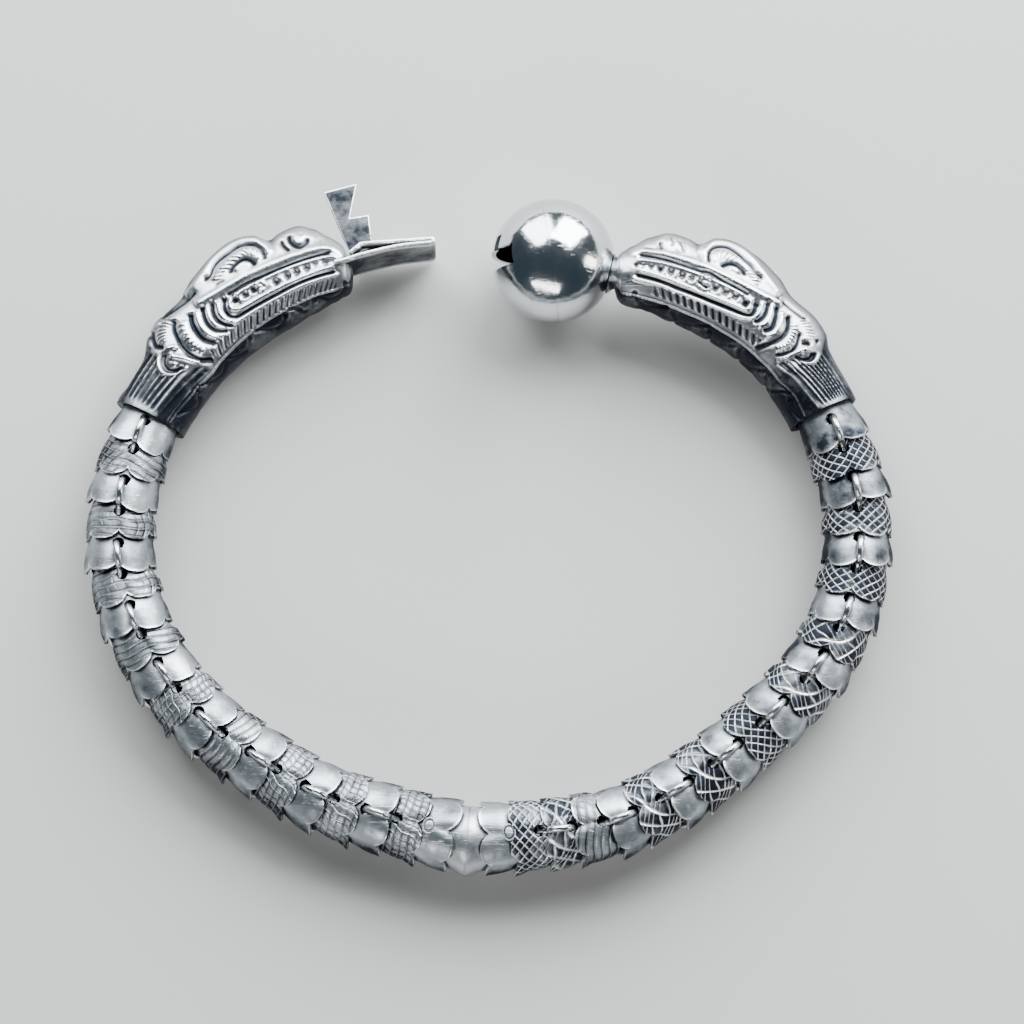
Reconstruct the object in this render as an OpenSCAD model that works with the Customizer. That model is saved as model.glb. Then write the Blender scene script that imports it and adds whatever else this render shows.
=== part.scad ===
// Articulated silver bracelet, open and lying on its side. A chain of scalloped tube links,
// wired end to end, joins two hollow cast heads. One head holds a folded spring tongue, the
// other a slotted ball that the tongue snaps into. The heads lie at +Y, the wrist opening is
// along Z, and the chain's middle lies at -Y.

/* [Chain] */
// Distance between neighbouring wire joints on the left side
left_pitch = 7.35; // [7.2:0.05:7.4]
// Distance between neighbouring wire joints on the right side
right_pitch = 7.1; // [7.05:0.05:7.2]
// Distance from a link's axis to the outside of its wire loops, which lie on the table
wire_reach = 5; // [4.95:0.05:5.1]
// Thickness of the sheet silver in the links
sheet = 0.3; // [0.25:0.05:0.35]
// Depth of the scallops at the end of each band
lobe_depth = 1.05; // [0.9:0.05:1.1]
// Largest outer radius of a link, at the tips of its plain band
tip_radius = 4.2; // [4.15:0.05:4.25]
// Distance of each wire hole from the joint between two links
hole_offset = 1.82; // [1.8:0.01:1.85]
// Diameter of the wire holes
hole_d = 1.65; // [1.6:0.05:1.7]
// Diameter of the staple wire
wire_d = 0.8; // [0.7:0.05:0.8]
// Distance from the middle bend to the first wire joint on each side
middle_arm = 9.96; // [9.9:0.02:10.1]

/* [Heads] */
// Length of the left head along its curve
head_length = 29.4; // [28.8:0.1:30]
// Length of the right head as a share of the left one's
right_share = 0.965; // [0.95:0.005:1]
// Breadth of the right head's outer half as a share of the left one's
right_slim = 0.95; // [0.94:0.01:1]
// Distance from the last wire joint to the neck of the left head
left_neck_gap = 2.6; // [2.55:0.05:2.7]
// Distance from the last wire joint to the neck of the right head
right_neck_gap = 3.2; // [3:0.05:3.3]
// Radius of the left head's curve
left_radius = 34.8; // [34:0.1:36]
// Radius of the right head's curve
right_radius = 27; // [26.5:0.1:28]

/* [Clasp] */
// Outer diameter of the ball
ball_d = 14.2; // [14:0.1:14.4]
// Thickness of the ball's shell
ball_wall = 0.5; // [0.4:0.05:0.6]
// Width of the ball's upright slot
slot_w = 2.3; // [2.2:0.1:2.6]
// Height of the ball's upright slot
slot_h = 10.6; // [10.2:0.1:10.8]
// Height of the tongue's leaves
leaf_h = 8.4; // [8:0.1:8.6]
// Thickness of the tongue's strip
leaf_t = 0.45; // [0.4:0.05:0.5]

/* [Hidden] */
LEFT_LINKS = 9;
RIGHT_LINKS = 10;
$fn = 48;

silver = [0.78, 0.79, 0.80];
grey_silver = [0.62, 0.64, 0.66];
bright_silver = [0.86, 0.87, 0.88];

// Where the middle of the chain lies, so that the whole bracelet is centred on the origin
middle = [-2.37, -35.98];

// Bend at each wire joint in degrees, from the middle of the chain to the head
left_bends = [4, 13, 4, 12, 13, 15, 16, 14];
right_bends = [6, 16, 10, 6, 4, 15, 16, 14, 16];
// Heading of the chain as it leaves its middle, and of each head's neck
left_start = 166;
right_start = 4;
left_neck = 63;
right_neck = 115;

function sum_to(list, n) = n <= 0 ? 0 : list[n - 1] + sum_to(list, n - 1);
function along(a) = [cos(a), sin(a)];

// Heading of the segment that ends at joint n, counted from the middle, going outwards
function heading(left, n) = left ? left_start - sum_to(left_bends, n)
                                 : right_start + sum_to(right_bends, n);
// Place of joint n
function joint(left, n) = n < 0 ? middle
  : joint(left, n - 1) + (n == 0 ? middle_arm : pitch(left)) * along(heading(left, n));
function pitch(left) = left ? left_pitch : right_pitch;
function last(left) = (left ? LEFT_LINKS : RIGHT_LINKS) - 1;
function neck_heading(left) = left ? left_neck : right_neck;
function neck(left) = joint(left, last(left))
  + (left ? left_neck_gap : right_neck_gap) * along(neck_heading(left));

// Puts a piece on joint n with its own +X pointing back along the chain to the middle
module at_joint(left, n, a) {
  translate([each joint(left, n), wire_reach]) rotate([0, 0, a + 180]) children();
}

// Links. Each is a short cone of hatched sheet soldered over a longer plain one. Along the
// link's own X axis 0 is the joint nearer the head and its pitch the joint nearer the middle.
// Each profile is a list of [x, outer radius].
hatched_profile = [[-0.95, 2.8], [2.6, 3.3], [5.25, 4]];
plain_past = 1.55;
function plain_profile(pitch) = [[3.3, 3.46], [pitch + plain_past, tip_radius]];
// A scallop is an arc whose chord spans a sixth of the tube
lobe_chord = 2.05;
// How much shorter the lobes at the wrist and the outer side are, which clears the bends
side_short = 0.3;
lobe_r = (pow(lobe_chord, 2) + pow(lobe_depth, 2)) / (2 * lobe_depth);
clear = 6;

// A tube round the X axis with a given outer profile and wall
module tube(profile, wall) {
  count = len(profile);
  rotate([0, 90, 0]) rotate_extrude() polygon(concat(
    [for (i = [0:count - 1]) [profile[i][1], profile[i][0]]],
    [for (i = [count - 1:-1:0]) [profile[i][1] - wall, profile[i][0]]]));
}

// Six rounded lobes ending at the plane x = tip
module lobes(from, tip) {
  for (a = [30, 90, 150])
    rotate([a, 0, 0]) translate([tip - lobe_r - (a == 90 ? side_short : 0), 0, 0])
      cylinder(r = lobe_r, h = 2 * clear, center = true);
  translate([from - 1, -clear, -clear]) cube([tip - 2 - from + 1, 2 * clear, 2 * clear]);
}

module scalloped_band(profile) {
  intersection() {
    tube(profile, sheet);
    lobes(profile[0][0], profile[len(profile) - 1][0]);
  }
}

module wire_holes(places) {
  for (x = places) translate([x, 0, 0]) cylinder(d = hole_d, h = 2 * clear, center = true);
}

module link(pitch) {
  color(silver) difference() {
    union() {
      scalloped_band(hatched_profile);
      scalloped_band(plain_profile(pitch));
    }
    wire_holes([hole_offset, pitch - hole_offset]);
  }
}

module link_left(i) {
  at_joint(true, LEFT_LINKS - i, heading(true, LEFT_LINKS - i)) link(left_pitch);
}

module link_right(i) {
  at_joint(false, RIGHT_LINKS - i, heading(false, RIGHT_LINKS - i)) link(right_pitch);
}

// Collars. Each is a plain band whose back end sits inside the neck of its head.
collar_profile = [[-4.3, 3.1], [plain_past, tip_radius]];
module collar(left) {
  at_joint(left, last(left), neck_heading(left)) color(silver) difference() {
    scalloped_band(collar_profile);
    wire_holes([-hole_offset]);
  }
}

// Staples. A closed loop of wire passes out through one link's hole and in through the next,
// once on top of the chain and once below it.
staple_bend = 1.4;
staple_half = hole_offset - staple_bend + 0.005;

module wire_loop() {
  for (z = [-staple_bend, staple_bend])
    translate([0, 0, z]) rotate([0, 90, 0]) cylinder(d = wire_d, h = 2 * staple_half, center = true);
  for (turn = [0, 180])
    rotate([0, turn, 0]) translate([staple_half, 0, 0]) rotate([90, 0, 0]) rotate([0, 0, -90])
      rotate_extrude(angle = 180) translate([staple_bend, 0]) circle(d = wire_d);
}

module staple(left, i) {
  n = (left ? LEFT_LINKS : RIGHT_LINKS) - i;
  before = n == last(left) ? neck_heading(left) : heading(left, n + 1);
  at_joint(left, n, (before + heading(left, n)) / 2) color(grey_silver)
    for (side = [0, 180]) rotate([side, 0, 0]) translate([0, 0, wire_reach - wire_d / 2 - staple_bend]) wire_loop();
}

// Centre tube. Two short flared tubes meet in a mitre at the middle of the chain, and each
// reaches into the last link of its side.
tube_profile = [[4.6, 3], [8.9, 3.7], [10.6, 4.2]];
tube_wall = 0.5;
mitre = (180 - left_start + right_start) / 2;
rivet_d = 1.45;
rivet_play = 0.1;
function rivet_x(left) = pitch(left) - hole_offset;

module half_tube(left) {
  at_joint(left, 0, heading(left, 0)) difference() {
    tube(tube_profile, tube_wall);
    translate([middle_arm, 0, 0]) rotate([0, 0, left ? mitre : -mitre])
      translate([0, -clear, -clear]) cube(2 * clear);
    translate([rivet_x(left), 0, 0]) cylinder(d = rivet_d + 2 * rivet_play, h = 2 * clear, center = true);
  }
}

module centre_tube() {
  color(bright_silver) union() {
    half_tube(true);
    half_tube(false);
  }
}

// Rivets. Short pins through the last links' holes into the centre tube, domed outside.
rivet_from = 2.3;
rivet_to = 3.85;
rivet_dome = 0.3;

module rivets() {
  color(bright_silver) for (left = [true, false]) at_joint(left, 0, heading(left, 0))
    for (side = [0, 180]) rotate([side, 0, 0]) translate([rivet_x(left), 0, rivet_from]) {
      cylinder(d = rivet_d, h = rivet_to - rivet_from);
      translate([0, 0, rivet_to - rivet_from]) cylinder(d1 = rivet_d, d2 = rivet_d / 2, h = rivet_dome);
    }
}

// Heads. Each is a hollow shell lofted along an arc. t runs along the curve from the neck to
// the snout, w is the distance outwards from the curve, and z the height above it.
head_sections = [
  // t, outer reach, inner reach, half height
  [0.0, 4.15, 4.3, 4.35],
  [5.7, 4.5, 4.3, 4.4],
  [7.4, 5.5, 4.2, 4.4],
  [9.0, 5.8, 4.2, 4.4],
  [12.2, 5.7, 4.2, 4.45],
  [14.5, 6.7, 4.2, 4.45],
  [17.2, 7.4, 4.2, 4.4],
  [20.0, 7.5, 4.2, 4.35],
  [21.5, 7.0, 4.1, 4.35],
  [22.5, 5.8, 4.0, 4.3],
  [24.0, 6.1, 3.9, 4.1],
  [25.8, 6.1, 3.6, 3.8],
  [27.0, 5.2, 3.2, 3.5],
  [27.8, 3.2, 2.8, 3.2],
  [28.6, 2.2, 2.2, 2.8],
  [29.4, 1.2, 1.2, 2.1]];
// Crossing from the shell to the chin plate, which is set back a little
crease = 2.3;
crease_height = 0.68;
chin_step = 0.2;

// Value of column c of the section table at t, joined by smooth steps
function section(t, c) = lookup_smooth(t, c, row_at(t, 0));
function row_at(t, i) = i >= len(head_sections) - 2 || t < head_sections[i + 1][0] ? i : row_at(t, i + 1);
function ease(x) = x * x * (3 - 2 * x);
function lookup_smooth(t, c, i) = let (a = head_sections[i], b = head_sections[i + 1])
  a[c] + (b[c] - a[c]) * ease((t - a[0]) / (b[0] - a[0]));

function bell(x) = exp(-x * x);

// Bow-shaped ridges behind the eye: place at their middle
bows = [11.6, 13.0, 14.3];
bow_middle = 1.6;
bow_sweep = 0.2;
// Rails along the jaw: t from, w there, t to, w there
rails = [[12.4, 3.9, 28, 2.7], [12.4, -0.4, 28.2, 0]];
// Bosses: t, w, half length, half width, height
bosses = [
  [6.6, 1.4, 1.2, 1.2, 0.30],
  [19.4, 1.5, 0.8, 0.9, 0.45],
  [18.4, 4.8, 1.1, 0.8, 0.35],
  [25.1, 4.7, 1.3, 1.0, 0.45]];
teeth_from = 16.3;
teeth_pitch = 1.5;
teeth_count = 8;
// Ear scroll: a round ridge
scroll = [18.6, 4.6];
scroll_r = 2.3;

function ramp(x) = min(1, max(0, x));
function bow(t, w, t0) = 0.35 * bell((t - t0 - bow_sweep * pow(w - bow_middle, 2)) / 0.42)
  * ramp((w + 1) / 0.6) * ramp((4.6 - w) / 0.6);
function rail(t, w, r) = let (f = (t - r[0]) / (r[2] - r[0]))
  f < -0.05 || f > 1 ? 0 : 0.3 * bell((w - r[1] - (r[3] - r[1]) * f) / 0.42) * ramp((f + 0.05) * 20);
function boss(t, w, b) = b[4] * bell((t - b[0]) / b[2]) * bell((w - b[1]) / b[3]);
function tooth(t, w) = let (n = round((t - teeth_from) / teeth_pitch))
  n < 0 || n >= teeth_count ? 0
  : 0.22 * bell((t - teeth_from - n * teeth_pitch) / 0.42) * bell((w - 1.4) / 0.4);
function relief(t, w) = sum([for (b = bows) bow(t, w, b)]) + sum([for (r = rails) rail(t, w, r)])
  + sum([for (b = bosses) boss(t, w, b)]) + tooth(t, w)
  + 0.4 * bell((norm([t, w] - scroll) - scroll_r) / 0.5) * ramp((w - 3.4) / 0.6);
function sum(list) = sum_to(list, len(list));

// Points round the upper half of a section, as [w, z], from the outer edge to the wrist side
outer_steps = 15;
strip_steps = 5;
chin_steps = 6;
half_steps = outer_steps + strip_steps + chin_steps;
function half_section(t, i) = let (out = section(t, 1), in = section(t, 2), h = section(t, 3), cr = min(crease, in - 0.7))
  i <= outer_steps
    ? let (a = 90 * pow(i / outer_steps, 0.8)) [out * cos(a), h * pow(sin(a), 0.85)]
  : i <= outer_steps + strip_steps
    ? let (f = (i - outer_steps) / strip_steps) [-cr * f, h * (1 - (1 - crease_height) * pow(f, 1.7))]
  : let (a = 90 * (i - outer_steps - strip_steps) / chin_steps)
    [-cr - (in - cr) * sin(a), (h * crease_height - chin_step) * cos(a)];

// A point of the outer surface, with the relief raised along the way out of the section
function shell_point(t, k) = let (up = k <= half_steps, i = up ? k : 2 * half_steps - k,
    p = half_section(t, i), way = i > outer_steps + strip_steps ? 0 : 1,
    n = [p[0] * 0.5, p[1]] / norm([p[0] * 0.5, p[1]]),
    q = p + way * (i == 0 ? 0 : 1) * relief(t, p[0]) * n)
  [q[0], up ? q[1] : -q[1]];

// Cavity: t, outer reach, inner reach, half height
cavity = [
  [0, 3.56, 3.56, 3.56],
  [2.6, 3.5, 3.5, 3.5],
  [8, 3.3, 3.3, 3.5],
  [20, 3.3, 3.3, 3.4],
  [25, 2.6, 2.6, 2.6],
  [27.4, 1.2, 1.2, 1.2]];
function cavity_point(row, k) = let (a = 180 * k / half_steps, reach = cos(a) > 0 ? row[1] : row[2])
  [reach * cos(a), row[3] * sin(a)];

// Places a section point [w, z] at t along a head's arc
function head_r(left) = left ? left_radius : right_radius;
function head_turn(left) = left ? -1 : 1;
function head_angle(left, t) = neck_heading(left)
  + head_turn(left) * t * (left ? 1 : right_share) / head_r(left) * 180 / PI;
function on_head(left, t, p, rise) = let (r = head_r(left), turn = head_turn(left),
    centre = neck(left) + r * along(neck_heading(left) + turn * 90),
    out = along(head_angle(left, t) - turn * 90))
  [each (centre + (r + p[0]) * out), wire_reach + rise * t / head_length + p[1]];
function slimmed(left, p) = [left || p[0] < 0 ? p[0] : p[0] * right_slim, p[1]];

rings = 54;
ring_size = 2 * half_steps;
module head_shell(left, rise) {
  points = concat(
    [for (j = [0:rings]) let (t = head_length * j / rings)
      for (k = [0:ring_size - 1]) on_head(left, t, slimmed(left, shell_point(t, k)), rise)],
    [for (j = [len(cavity) - 1:-1:0]) for (k = [0:ring_size - 1])
      on_head(left, cavity[j][0], cavity_point(cavity[j], k), rise)]);
  open_rings = rings + 1 + len(cavity);
  faces = [for (j = [0:open_rings - 1]) for (k = [0:ring_size - 1])
    let (a = j * ring_size + k, b = j * ring_size + (k + 1) % ring_size,
         c = ((j + 1) % open_rings) * ring_size + (k + 1) % ring_size,
         d = ((j + 1) % open_rings) * ring_size + k)
    for (f = [[a, b, c], [a, c, d]]) left ? [f[2], f[1], f[0]] : f];
  polyhedron(points, faces);
}

// Height that the right head's snout gains over its neck, to meet the ball
ball_rise = ball_d / 2 - wire_reach;
snout_slit = [1.6, 0.8];
socket_d = 2.2;
socket_depth = 1.5;

module head_left() {
  color(silver) difference() {
    head_shell(true, 0);
    snout_at(true, 0) translate([-snout_slit[0], -snout_slit[1] / 2, -clear])
      cube([2 * snout_slit[0], snout_slit[1], 2 * clear]);
  }
}

module head_right() {
  color(silver) difference() {
    head_shell(false, ball_rise);
    towards_ball() cylinder(d = socket_d, h = 2 * socket_depth, center = true);
  }
}

function snout_end(left, rise) = on_head(left, head_length, [0, 0], rise);

// Frame at the end of a head's curve, +X pointing out of the snout
module snout_at(left, rise) {
  translate(snout_end(left, rise)) rotate([0, 0, head_angle(left, head_length)]) children();
}

// Tongue. A strip of spring silver folded into a V, its leaves upright, with the inner leaf
// fixed in the left snout. The outlines are in the snout's frame: x runs out of the snout and
// y away from the wrist.
inner_leaf = [[-1.2, 0], [0.2, 0], [2.5, 0.1], [6.3, 0], [10.1, -0.55]];
outer_leaf = [[0.8, 0.6], [2, 1.15], [3, 1.2], [10.1, -0.1]];
thumb_piece = [[0.75, 0.65], [-0.36, 8.7], [3.64, 8.75], [1.84, 5], [4.04, 4.85], [3.55, 1]];
thumb_t = 0.5;
// Height of the thumb-piece above the middle of the leaves, and of its slit above the ball's
thumb_up = 2.4;

// Direction across a path at its point i
function across(path, i) = let (d = path[min(i + 1, len(path) - 1)] - path[max(i - 1, 0)]) [-d[1], d[0]] / norm(d);
module strip(path, t) {
  count = len(path);
  polygon(concat([for (i = [0:count - 1]) path[i] + across(path, i) * t / 2],
                 [for (i = [count - 1:-1:0]) path[i] - across(path, i) * t / 2]));
}

module clasp_tongue() {
  fold = [inner_leaf[4], outer_leaf[3]];
  color(bright_silver) snout_at(true, 0) union() {
    translate([0, 0, -leaf_h / 2]) linear_extrude(leaf_h) union() {
      strip(inner_leaf, leaf_t);
      strip(outer_leaf, leaf_t);
      translate((fold[0] + fold[1]) / 2) circle(d = norm(fold[1] - fold[0]) + leaf_t);
    }
    translate([0, 0, thumb_up - thumb_t / 2]) linear_extrude(thumb_t) polygon(thumb_piece);
  }
}

// Ball. A hollow sphere with an upright slot for the folded tongue and a level slit beside it
// for the thumb-piece. A short flared neck with a peg joins it to the right snout.
ball_at = [7.33, 30.52];
slot_heading = 178;
slit = [2.8, 0.8];
neck_d = [2.0, 3.4, 4.8];
neck_play = 0.4;
snout_to_ball = ball_at - [for (i = [0, 1]) snout_end(false, ball_rise)[i]];
neck_out = norm(snout_to_ball) - ball_d / 2 + 0.3;

// Frame at the right snout, +Z pointing at the middle of the ball
module towards_ball() {
  translate(snout_end(false, ball_rise)) rotate([0, 90, atan2(snout_to_ball[1], snout_to_ball[0])])
    children();
}

module clasp_ball() {
  r = ball_d / 2;
  color(bright_silver) difference() {
    union() {
      translate([each ball_at, r]) sphere(d = ball_d);
      towards_ball() {
        translate([0, 0, neck_play - socket_depth]) cylinder(d = neck_d[0], h = socket_depth + neck_out - neck_play);
        translate([0, 0, neck_play]) cylinder(d1 = neck_d[1], d2 = neck_d[2], h = neck_out - neck_play);
      }
    }
    translate([each ball_at, r]) sphere(d = ball_d - 2 * ball_wall);
    translate([each ball_at, r]) rotate([0, 0, slot_heading]) {
      translate([r / 2, -slot_w / 2, -slot_h / 2]) cube([r, slot_w, slot_h]);
      translate([r / 2 + 1.2, -slit[0], thumb_up - slit[1] / 2]) cube([r, slit[0], slit[1]]);
    }
  }
}

module collar_left() { collar(true); }
module collar_right() { collar(false); }

head_left();
head_right();
collar_left();
collar_right();
centre_tube();
rivets();
clasp_tongue();
clasp_ball();
for (i = [1:LEFT_LINKS]) link_left(i);
for (i = [1:RIGHT_LINKS]) link_right(i);
for (i = [1:LEFT_LINKS]) staple(true, i);
for (i = [1:RIGHT_LINKS]) staple(false, i);
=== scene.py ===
# Looks of an articulated silver bracelet that lies open on a table
import math
import bpy
import numpy as np
from mathutils import Matrix, Vector


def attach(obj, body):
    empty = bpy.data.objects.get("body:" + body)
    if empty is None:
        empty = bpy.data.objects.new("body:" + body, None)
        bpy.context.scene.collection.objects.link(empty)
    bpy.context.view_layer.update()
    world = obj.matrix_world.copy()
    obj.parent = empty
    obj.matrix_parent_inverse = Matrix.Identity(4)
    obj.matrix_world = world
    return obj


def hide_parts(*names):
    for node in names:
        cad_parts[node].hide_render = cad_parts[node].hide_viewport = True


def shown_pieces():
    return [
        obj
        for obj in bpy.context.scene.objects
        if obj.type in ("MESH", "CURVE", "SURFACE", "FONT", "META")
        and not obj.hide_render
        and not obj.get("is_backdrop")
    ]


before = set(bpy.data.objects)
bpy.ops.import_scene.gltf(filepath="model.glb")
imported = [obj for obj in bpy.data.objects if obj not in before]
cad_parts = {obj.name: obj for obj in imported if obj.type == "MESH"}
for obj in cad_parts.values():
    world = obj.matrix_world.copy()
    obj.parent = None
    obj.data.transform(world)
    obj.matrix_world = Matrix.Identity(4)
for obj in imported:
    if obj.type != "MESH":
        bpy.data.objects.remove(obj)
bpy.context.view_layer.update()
mm = 0.001
rng = np.random.default_rng(7)

# The camera looks down at the photograph's own tilt. Zoom and picture are in its pixels.
cameraLook = {"aim": (2.63, 1.62, 5.0), "away": 600.0, "tilt": 11.0, "zoom": 5263, "picture": 1024, "film": 36}

# Where the chain runs, in mm. Bends are in degrees, from the middle of the chain to each head. Outer is the
# angle of the chain's outer side, and the links up to tight, counted from the head, sit close together.
chain = {
    "middle": (-2.37, -35.98), "arm": 9.96, "height": 5.0, "hole": 1.82, "wire": 0.8, "past": 1.55, "sheet": 0.3,
    "left": {
        "links": 9, "pitch": 7.35, "start": 166, "turn": -1, "bends": [4, 13, 4, 12, 13, 15, 16, 14],
        "neck": 63, "gap": 2.6, "outer": 188, "tight": 4, "collarSeed": 91},
    "right": {
        "links": 10, "pitch": 7.1, "start": 4, "turn": 1, "bends": [6, 16, 10, 6, 4, 15, 16, 14, 16],
        "neck": 115, "gap": 3.2, "outer": -8, "tight": 6, "collarSeed": 95},
}


# Small shapes used by every relief
def bell(x):
    return np.exp(-np.square(x))


def ease(x):
    x = np.clip(x, 0, 1)
    return x * x * (3 - 2 * x)


def along(degrees):
    return np.array([math.cos(math.radians(degrees)), math.sin(math.radians(degrees))])


def awayFrom(degrees, middle):
    # signed degrees from the middle, -180 to 180
    return (degrees - middle + 540) % 360 - 180


# Places on the chain
def heading(side, n):
    run = chain[side]
    return run["start"] + run["turn"] * sum(run["bends"][:n])


def jointAt(side, n):
    place = np.array(chain["middle"]) + chain["arm"] * along(heading(side, 0))
    for i in range(1, n + 1):
        place = place + chain[side]["pitch"] * along(heading(side, i))
    return place


def neckAt(side):
    run = chain[side]
    return jointAt(side, run["links"] - 1) + run["gap"] * along(run["neck"])


def placed(x, y, z, degrees):
    # matrix of a place in mm, turned about Z
    return Matrix.Translation((x * mm, y * mm, z * mm)) @ Matrix.Rotation(math.radians(degrees), 4, "Z")


def toChain(side, n, degrees):
    # matrix of a joint, its own X pointing back along the chain to the middle
    return placed(*jointAt(side, n), chain["height"], degrees + 180)


# Shader maths: a socket that takes + - * and adds its own nodes
class Flow:
    def __init__(self, tree, socket=None):
        self.tree, self.socket = tree, socket

    def add(self, kind, settings=None, inputs=None, out=0):
        node = self.tree.nodes.new("ShaderNode" + kind)
        for name, value in (settings or {}).items():
            setattr(node, name, value)
        for key, value in (inputs or {}).items():
            if isinstance(value, Flow):
                self.tree.links.new(value.socket, node.inputs[key])
            else:
                node.inputs[key].default_value = value
        return Flow(self.tree, node.outputs[out])

    def maths(self, operation, *values):
        return self.add("Math", {"operation": operation}, dict(enumerate(values)))

    def __add__(self, other): return self.maths("ADD", self, other)
    def __radd__(self, other): return self.maths("ADD", other, self)
    def __sub__(self, other): return self.maths("SUBTRACT", self, other)
    def __rsub__(self, other): return self.maths("SUBTRACT", other, self)
    def __mul__(self, other): return self.maths("MULTIPLY", self, other)
    def __rmul__(self, other): return self.maths("MULTIPLY", other, self)

    def clamp(self):
        return self.add("Clamp", None, {0: self})

    def mix(self, first, second):
        # self picks between two colours
        return self.add("Mix", {"data_type": "RGBA"}, {0: self.clamp(), 6: first, 7: second}, out=2)

    def spread(self, low, high):
        # low to high becomes 0 to 1
        return self.add("MapRange", None, {0: self, 1: low, 2: high})


# Finishes. The wear-and-highlight colour is the silver on worn edges and in painted highlights, dark is the tarnish in
# hollows and the painted shade.
finishes = {
    "castSilver": {
        "bright": (0.53, 0.56, 0.58, 1), "rubbed": (0.88, 0.90, 0.91, 1), "dark": (0.014, 0.017, 0.024, 1),
        "rough": 0.31, "grain": 1.0, "scratch": 0.6, "cloud": 0.32, "hammer": 1.3},
    "linkSilver": {
        "bright": (0.42, 0.465, 0.495, 1), "rubbed": (0.90, 0.91, 0.92, 1), "dark": (0.016, 0.02, 0.028, 1),
        "rough": 0.38, "grain": 0.8, "scratch": 0.8, "cloud": 1.0, "hammer": 1.4},
    "wireSilver": {
        "bright": (0.66, 0.68, 0.69, 1), "rubbed": (0.90, 0.91, 0.92, 1), "dark": (0.02, 0.023, 0.03, 1),
        "rough": 0.25, "grain": 0.5, "scratch": 0.5, "cloud": 0.3, "hammer": 0.8},
    "plainSilver": {
        "bright": (0.50, 0.535, 0.56, 1), "rubbed": (0.90, 0.91, 0.92, 1), "dark": (0.02, 0.024, 0.032, 1),
        "rough": 0.36, "grain": 0.7, "scratch": 0.8, "cloud": 0.8, "hammer": 1.5},
    "ballSilver": {
        "bright": (0.66, 0.685, 0.70, 1), "rubbed": (0.88, 0.90, 0.91, 1), "dark": (0.016, 0.02, 0.024, 1),
        "rough": 0.14, "grain": 0.14, "scratch": 0.22, "cloud": 0.2, "hammer": 2.4},
}
# Scales are in waves per metre. Each set of scratches has a turn and a stretch of its own.
marks = {
    "clouds": {"Scale": 260.0, "Detail": 5.0, "Roughness": 0.6},
    "hammer": {"Scale": 850.0, "Detail": 1.5, "Roughness": 0.4},
    "specks": {"Scale": 2300.0, "Detail": 3.0, "Roughness": 0.65},
    "scratches": ((0.5, 16.0), (1.9, 22.0), (2.7, 13.0)), "scratchScale": (260.0, 330.0, 2600.0),
    "engravedDepth": 6.0, "bump": 0.55, "bumpDepth": 0.00003,
}


def scratched(flow, place):
    # fine scratches in several directions
    total = None
    for turn, stretch in marks["scratches"]:
        x, y, z = marks["scratchScale"]
        turned = flow.add("Mapping", None, {
            "Vector": place, "Rotation": (0.3, 0.2, turn), "Scale": (x, y * stretch, z)})
        line = flow.add("TexNoise", None, {"Vector": turned, "Scale": 1.0, "Detail": 2.0}).spread(0.63, 0.74)
        total = line if total is None else total + line
    return total


def engravedLines(flow, clouds, deep):
    # the two families of lines that the pattern map counts, the second as deep as painted
    split = flow.add("SeparateXYZ", None, {0: flow.add("UVMap", {"uv_map": "pattern"})}).socket.node
    cuts = []
    for axis in (0, 1):
        phase = Flow(flow.tree, split.outputs[axis]) + (clouds - 0.5) * 0.25
        near = phase.maths("ABSOLUTE", phase.maths("FRACT", phase) - 0.5)
        cuts.append(near.spread(0.40, 0.5) * (deep if axis else 1.0))
    return cuts[0].maths("MAXIMUM", *cuts)


def silver(name, engraved=False):
    look = finishes[name]
    material = bpy.data.materials.new(name + ("Engraved" if engraved else ""))
    material.use_nodes = True
    tree = material.node_tree
    tree.nodes.clear()
    flow = Flow(tree)
    place = flow.add("TexCoord", None, None, out=3)

    def painted(layer):
        return flow.add("Attribute", {"attribute_name": layer}, None, out=2)

    tarnish, rubbed = painted("tarnish"), painted("rubbed")
    clouds, hammer, specks = (
        flow.add("TexNoise", None, {"Vector": place, **marks[kind]}) for kind in ("clouds", "hammer", "specks"))
    scratches = scratched(flow, place)
    patches = (clouds.spread(0.36, 0.68) - 0.35) * (0.75 * look["cloud"])
    # tarnish together with painted shade, from the painted layer and random patches
    dirtAndShade = (tarnish + patches + (specks - 0.5) * 0.25 * tarnish - rubbed * 0.3).clamp()
    # worn silver together with painted highlights, from the painted layer, clouds and scratches
    wornAndHighlight = rubbed * 0.85 + clouds.spread(0.5, 0.8) * 0.25 + scratches * (0.34 * look["scratch"])
    colour = dirtAndShade.mix(wornAndHighlight.mix(look["bright"], look["rubbed"]), look["dark"])
    rough = (look["rough"] + dirtAndShade * 0.2 + (specks - 0.5) * (0.18 * look["grain"])
             + (clouds - 0.5) * 0.25 - rubbed * 0.08)
    height = (specks * look["grain"] - scratches * (0.9 * look["scratch"])
              + clouds * 1.6 + hammer * look["hammer"])
    if engraved:
        cut = engravedLines(flow, clouds, painted("engraved"))
        height = height - cut * marks["engravedDepth"]
        # a painted highlight in the engraved lines
        colour = (cut * painted("lineHighlight")).mix(colour, look["rubbed"])
    bump = flow.add("Bump", None, {
        "Height": height, "Strength": marks["bump"], "Distance": marks["bumpDepth"]})
    shader = flow.add("BsdfPrincipled", None, {
        "Base Color": colour, "Metallic": 1.0, "Roughness": rough.clamp(), "Normal": bump})
    output = tree.nodes.new("ShaderNodeOutputMaterial")
    tree.links.new(shader.socket, output.inputs["Surface"])
    return material


castSilver, linkSilver, wireSilver, plainSilver, ballSilver = (silver(name) for name in finishes)
engravedSilver = silver("linkSilver", engraved=True)
print("materials ready")


# Mesh helpers
def newShape(make, **settings):
    # a primitive, made with nothing else selected
    bpy.ops.object.select_all(action="DESELECT")
    make(**settings)
    return bpy.context.object


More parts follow.
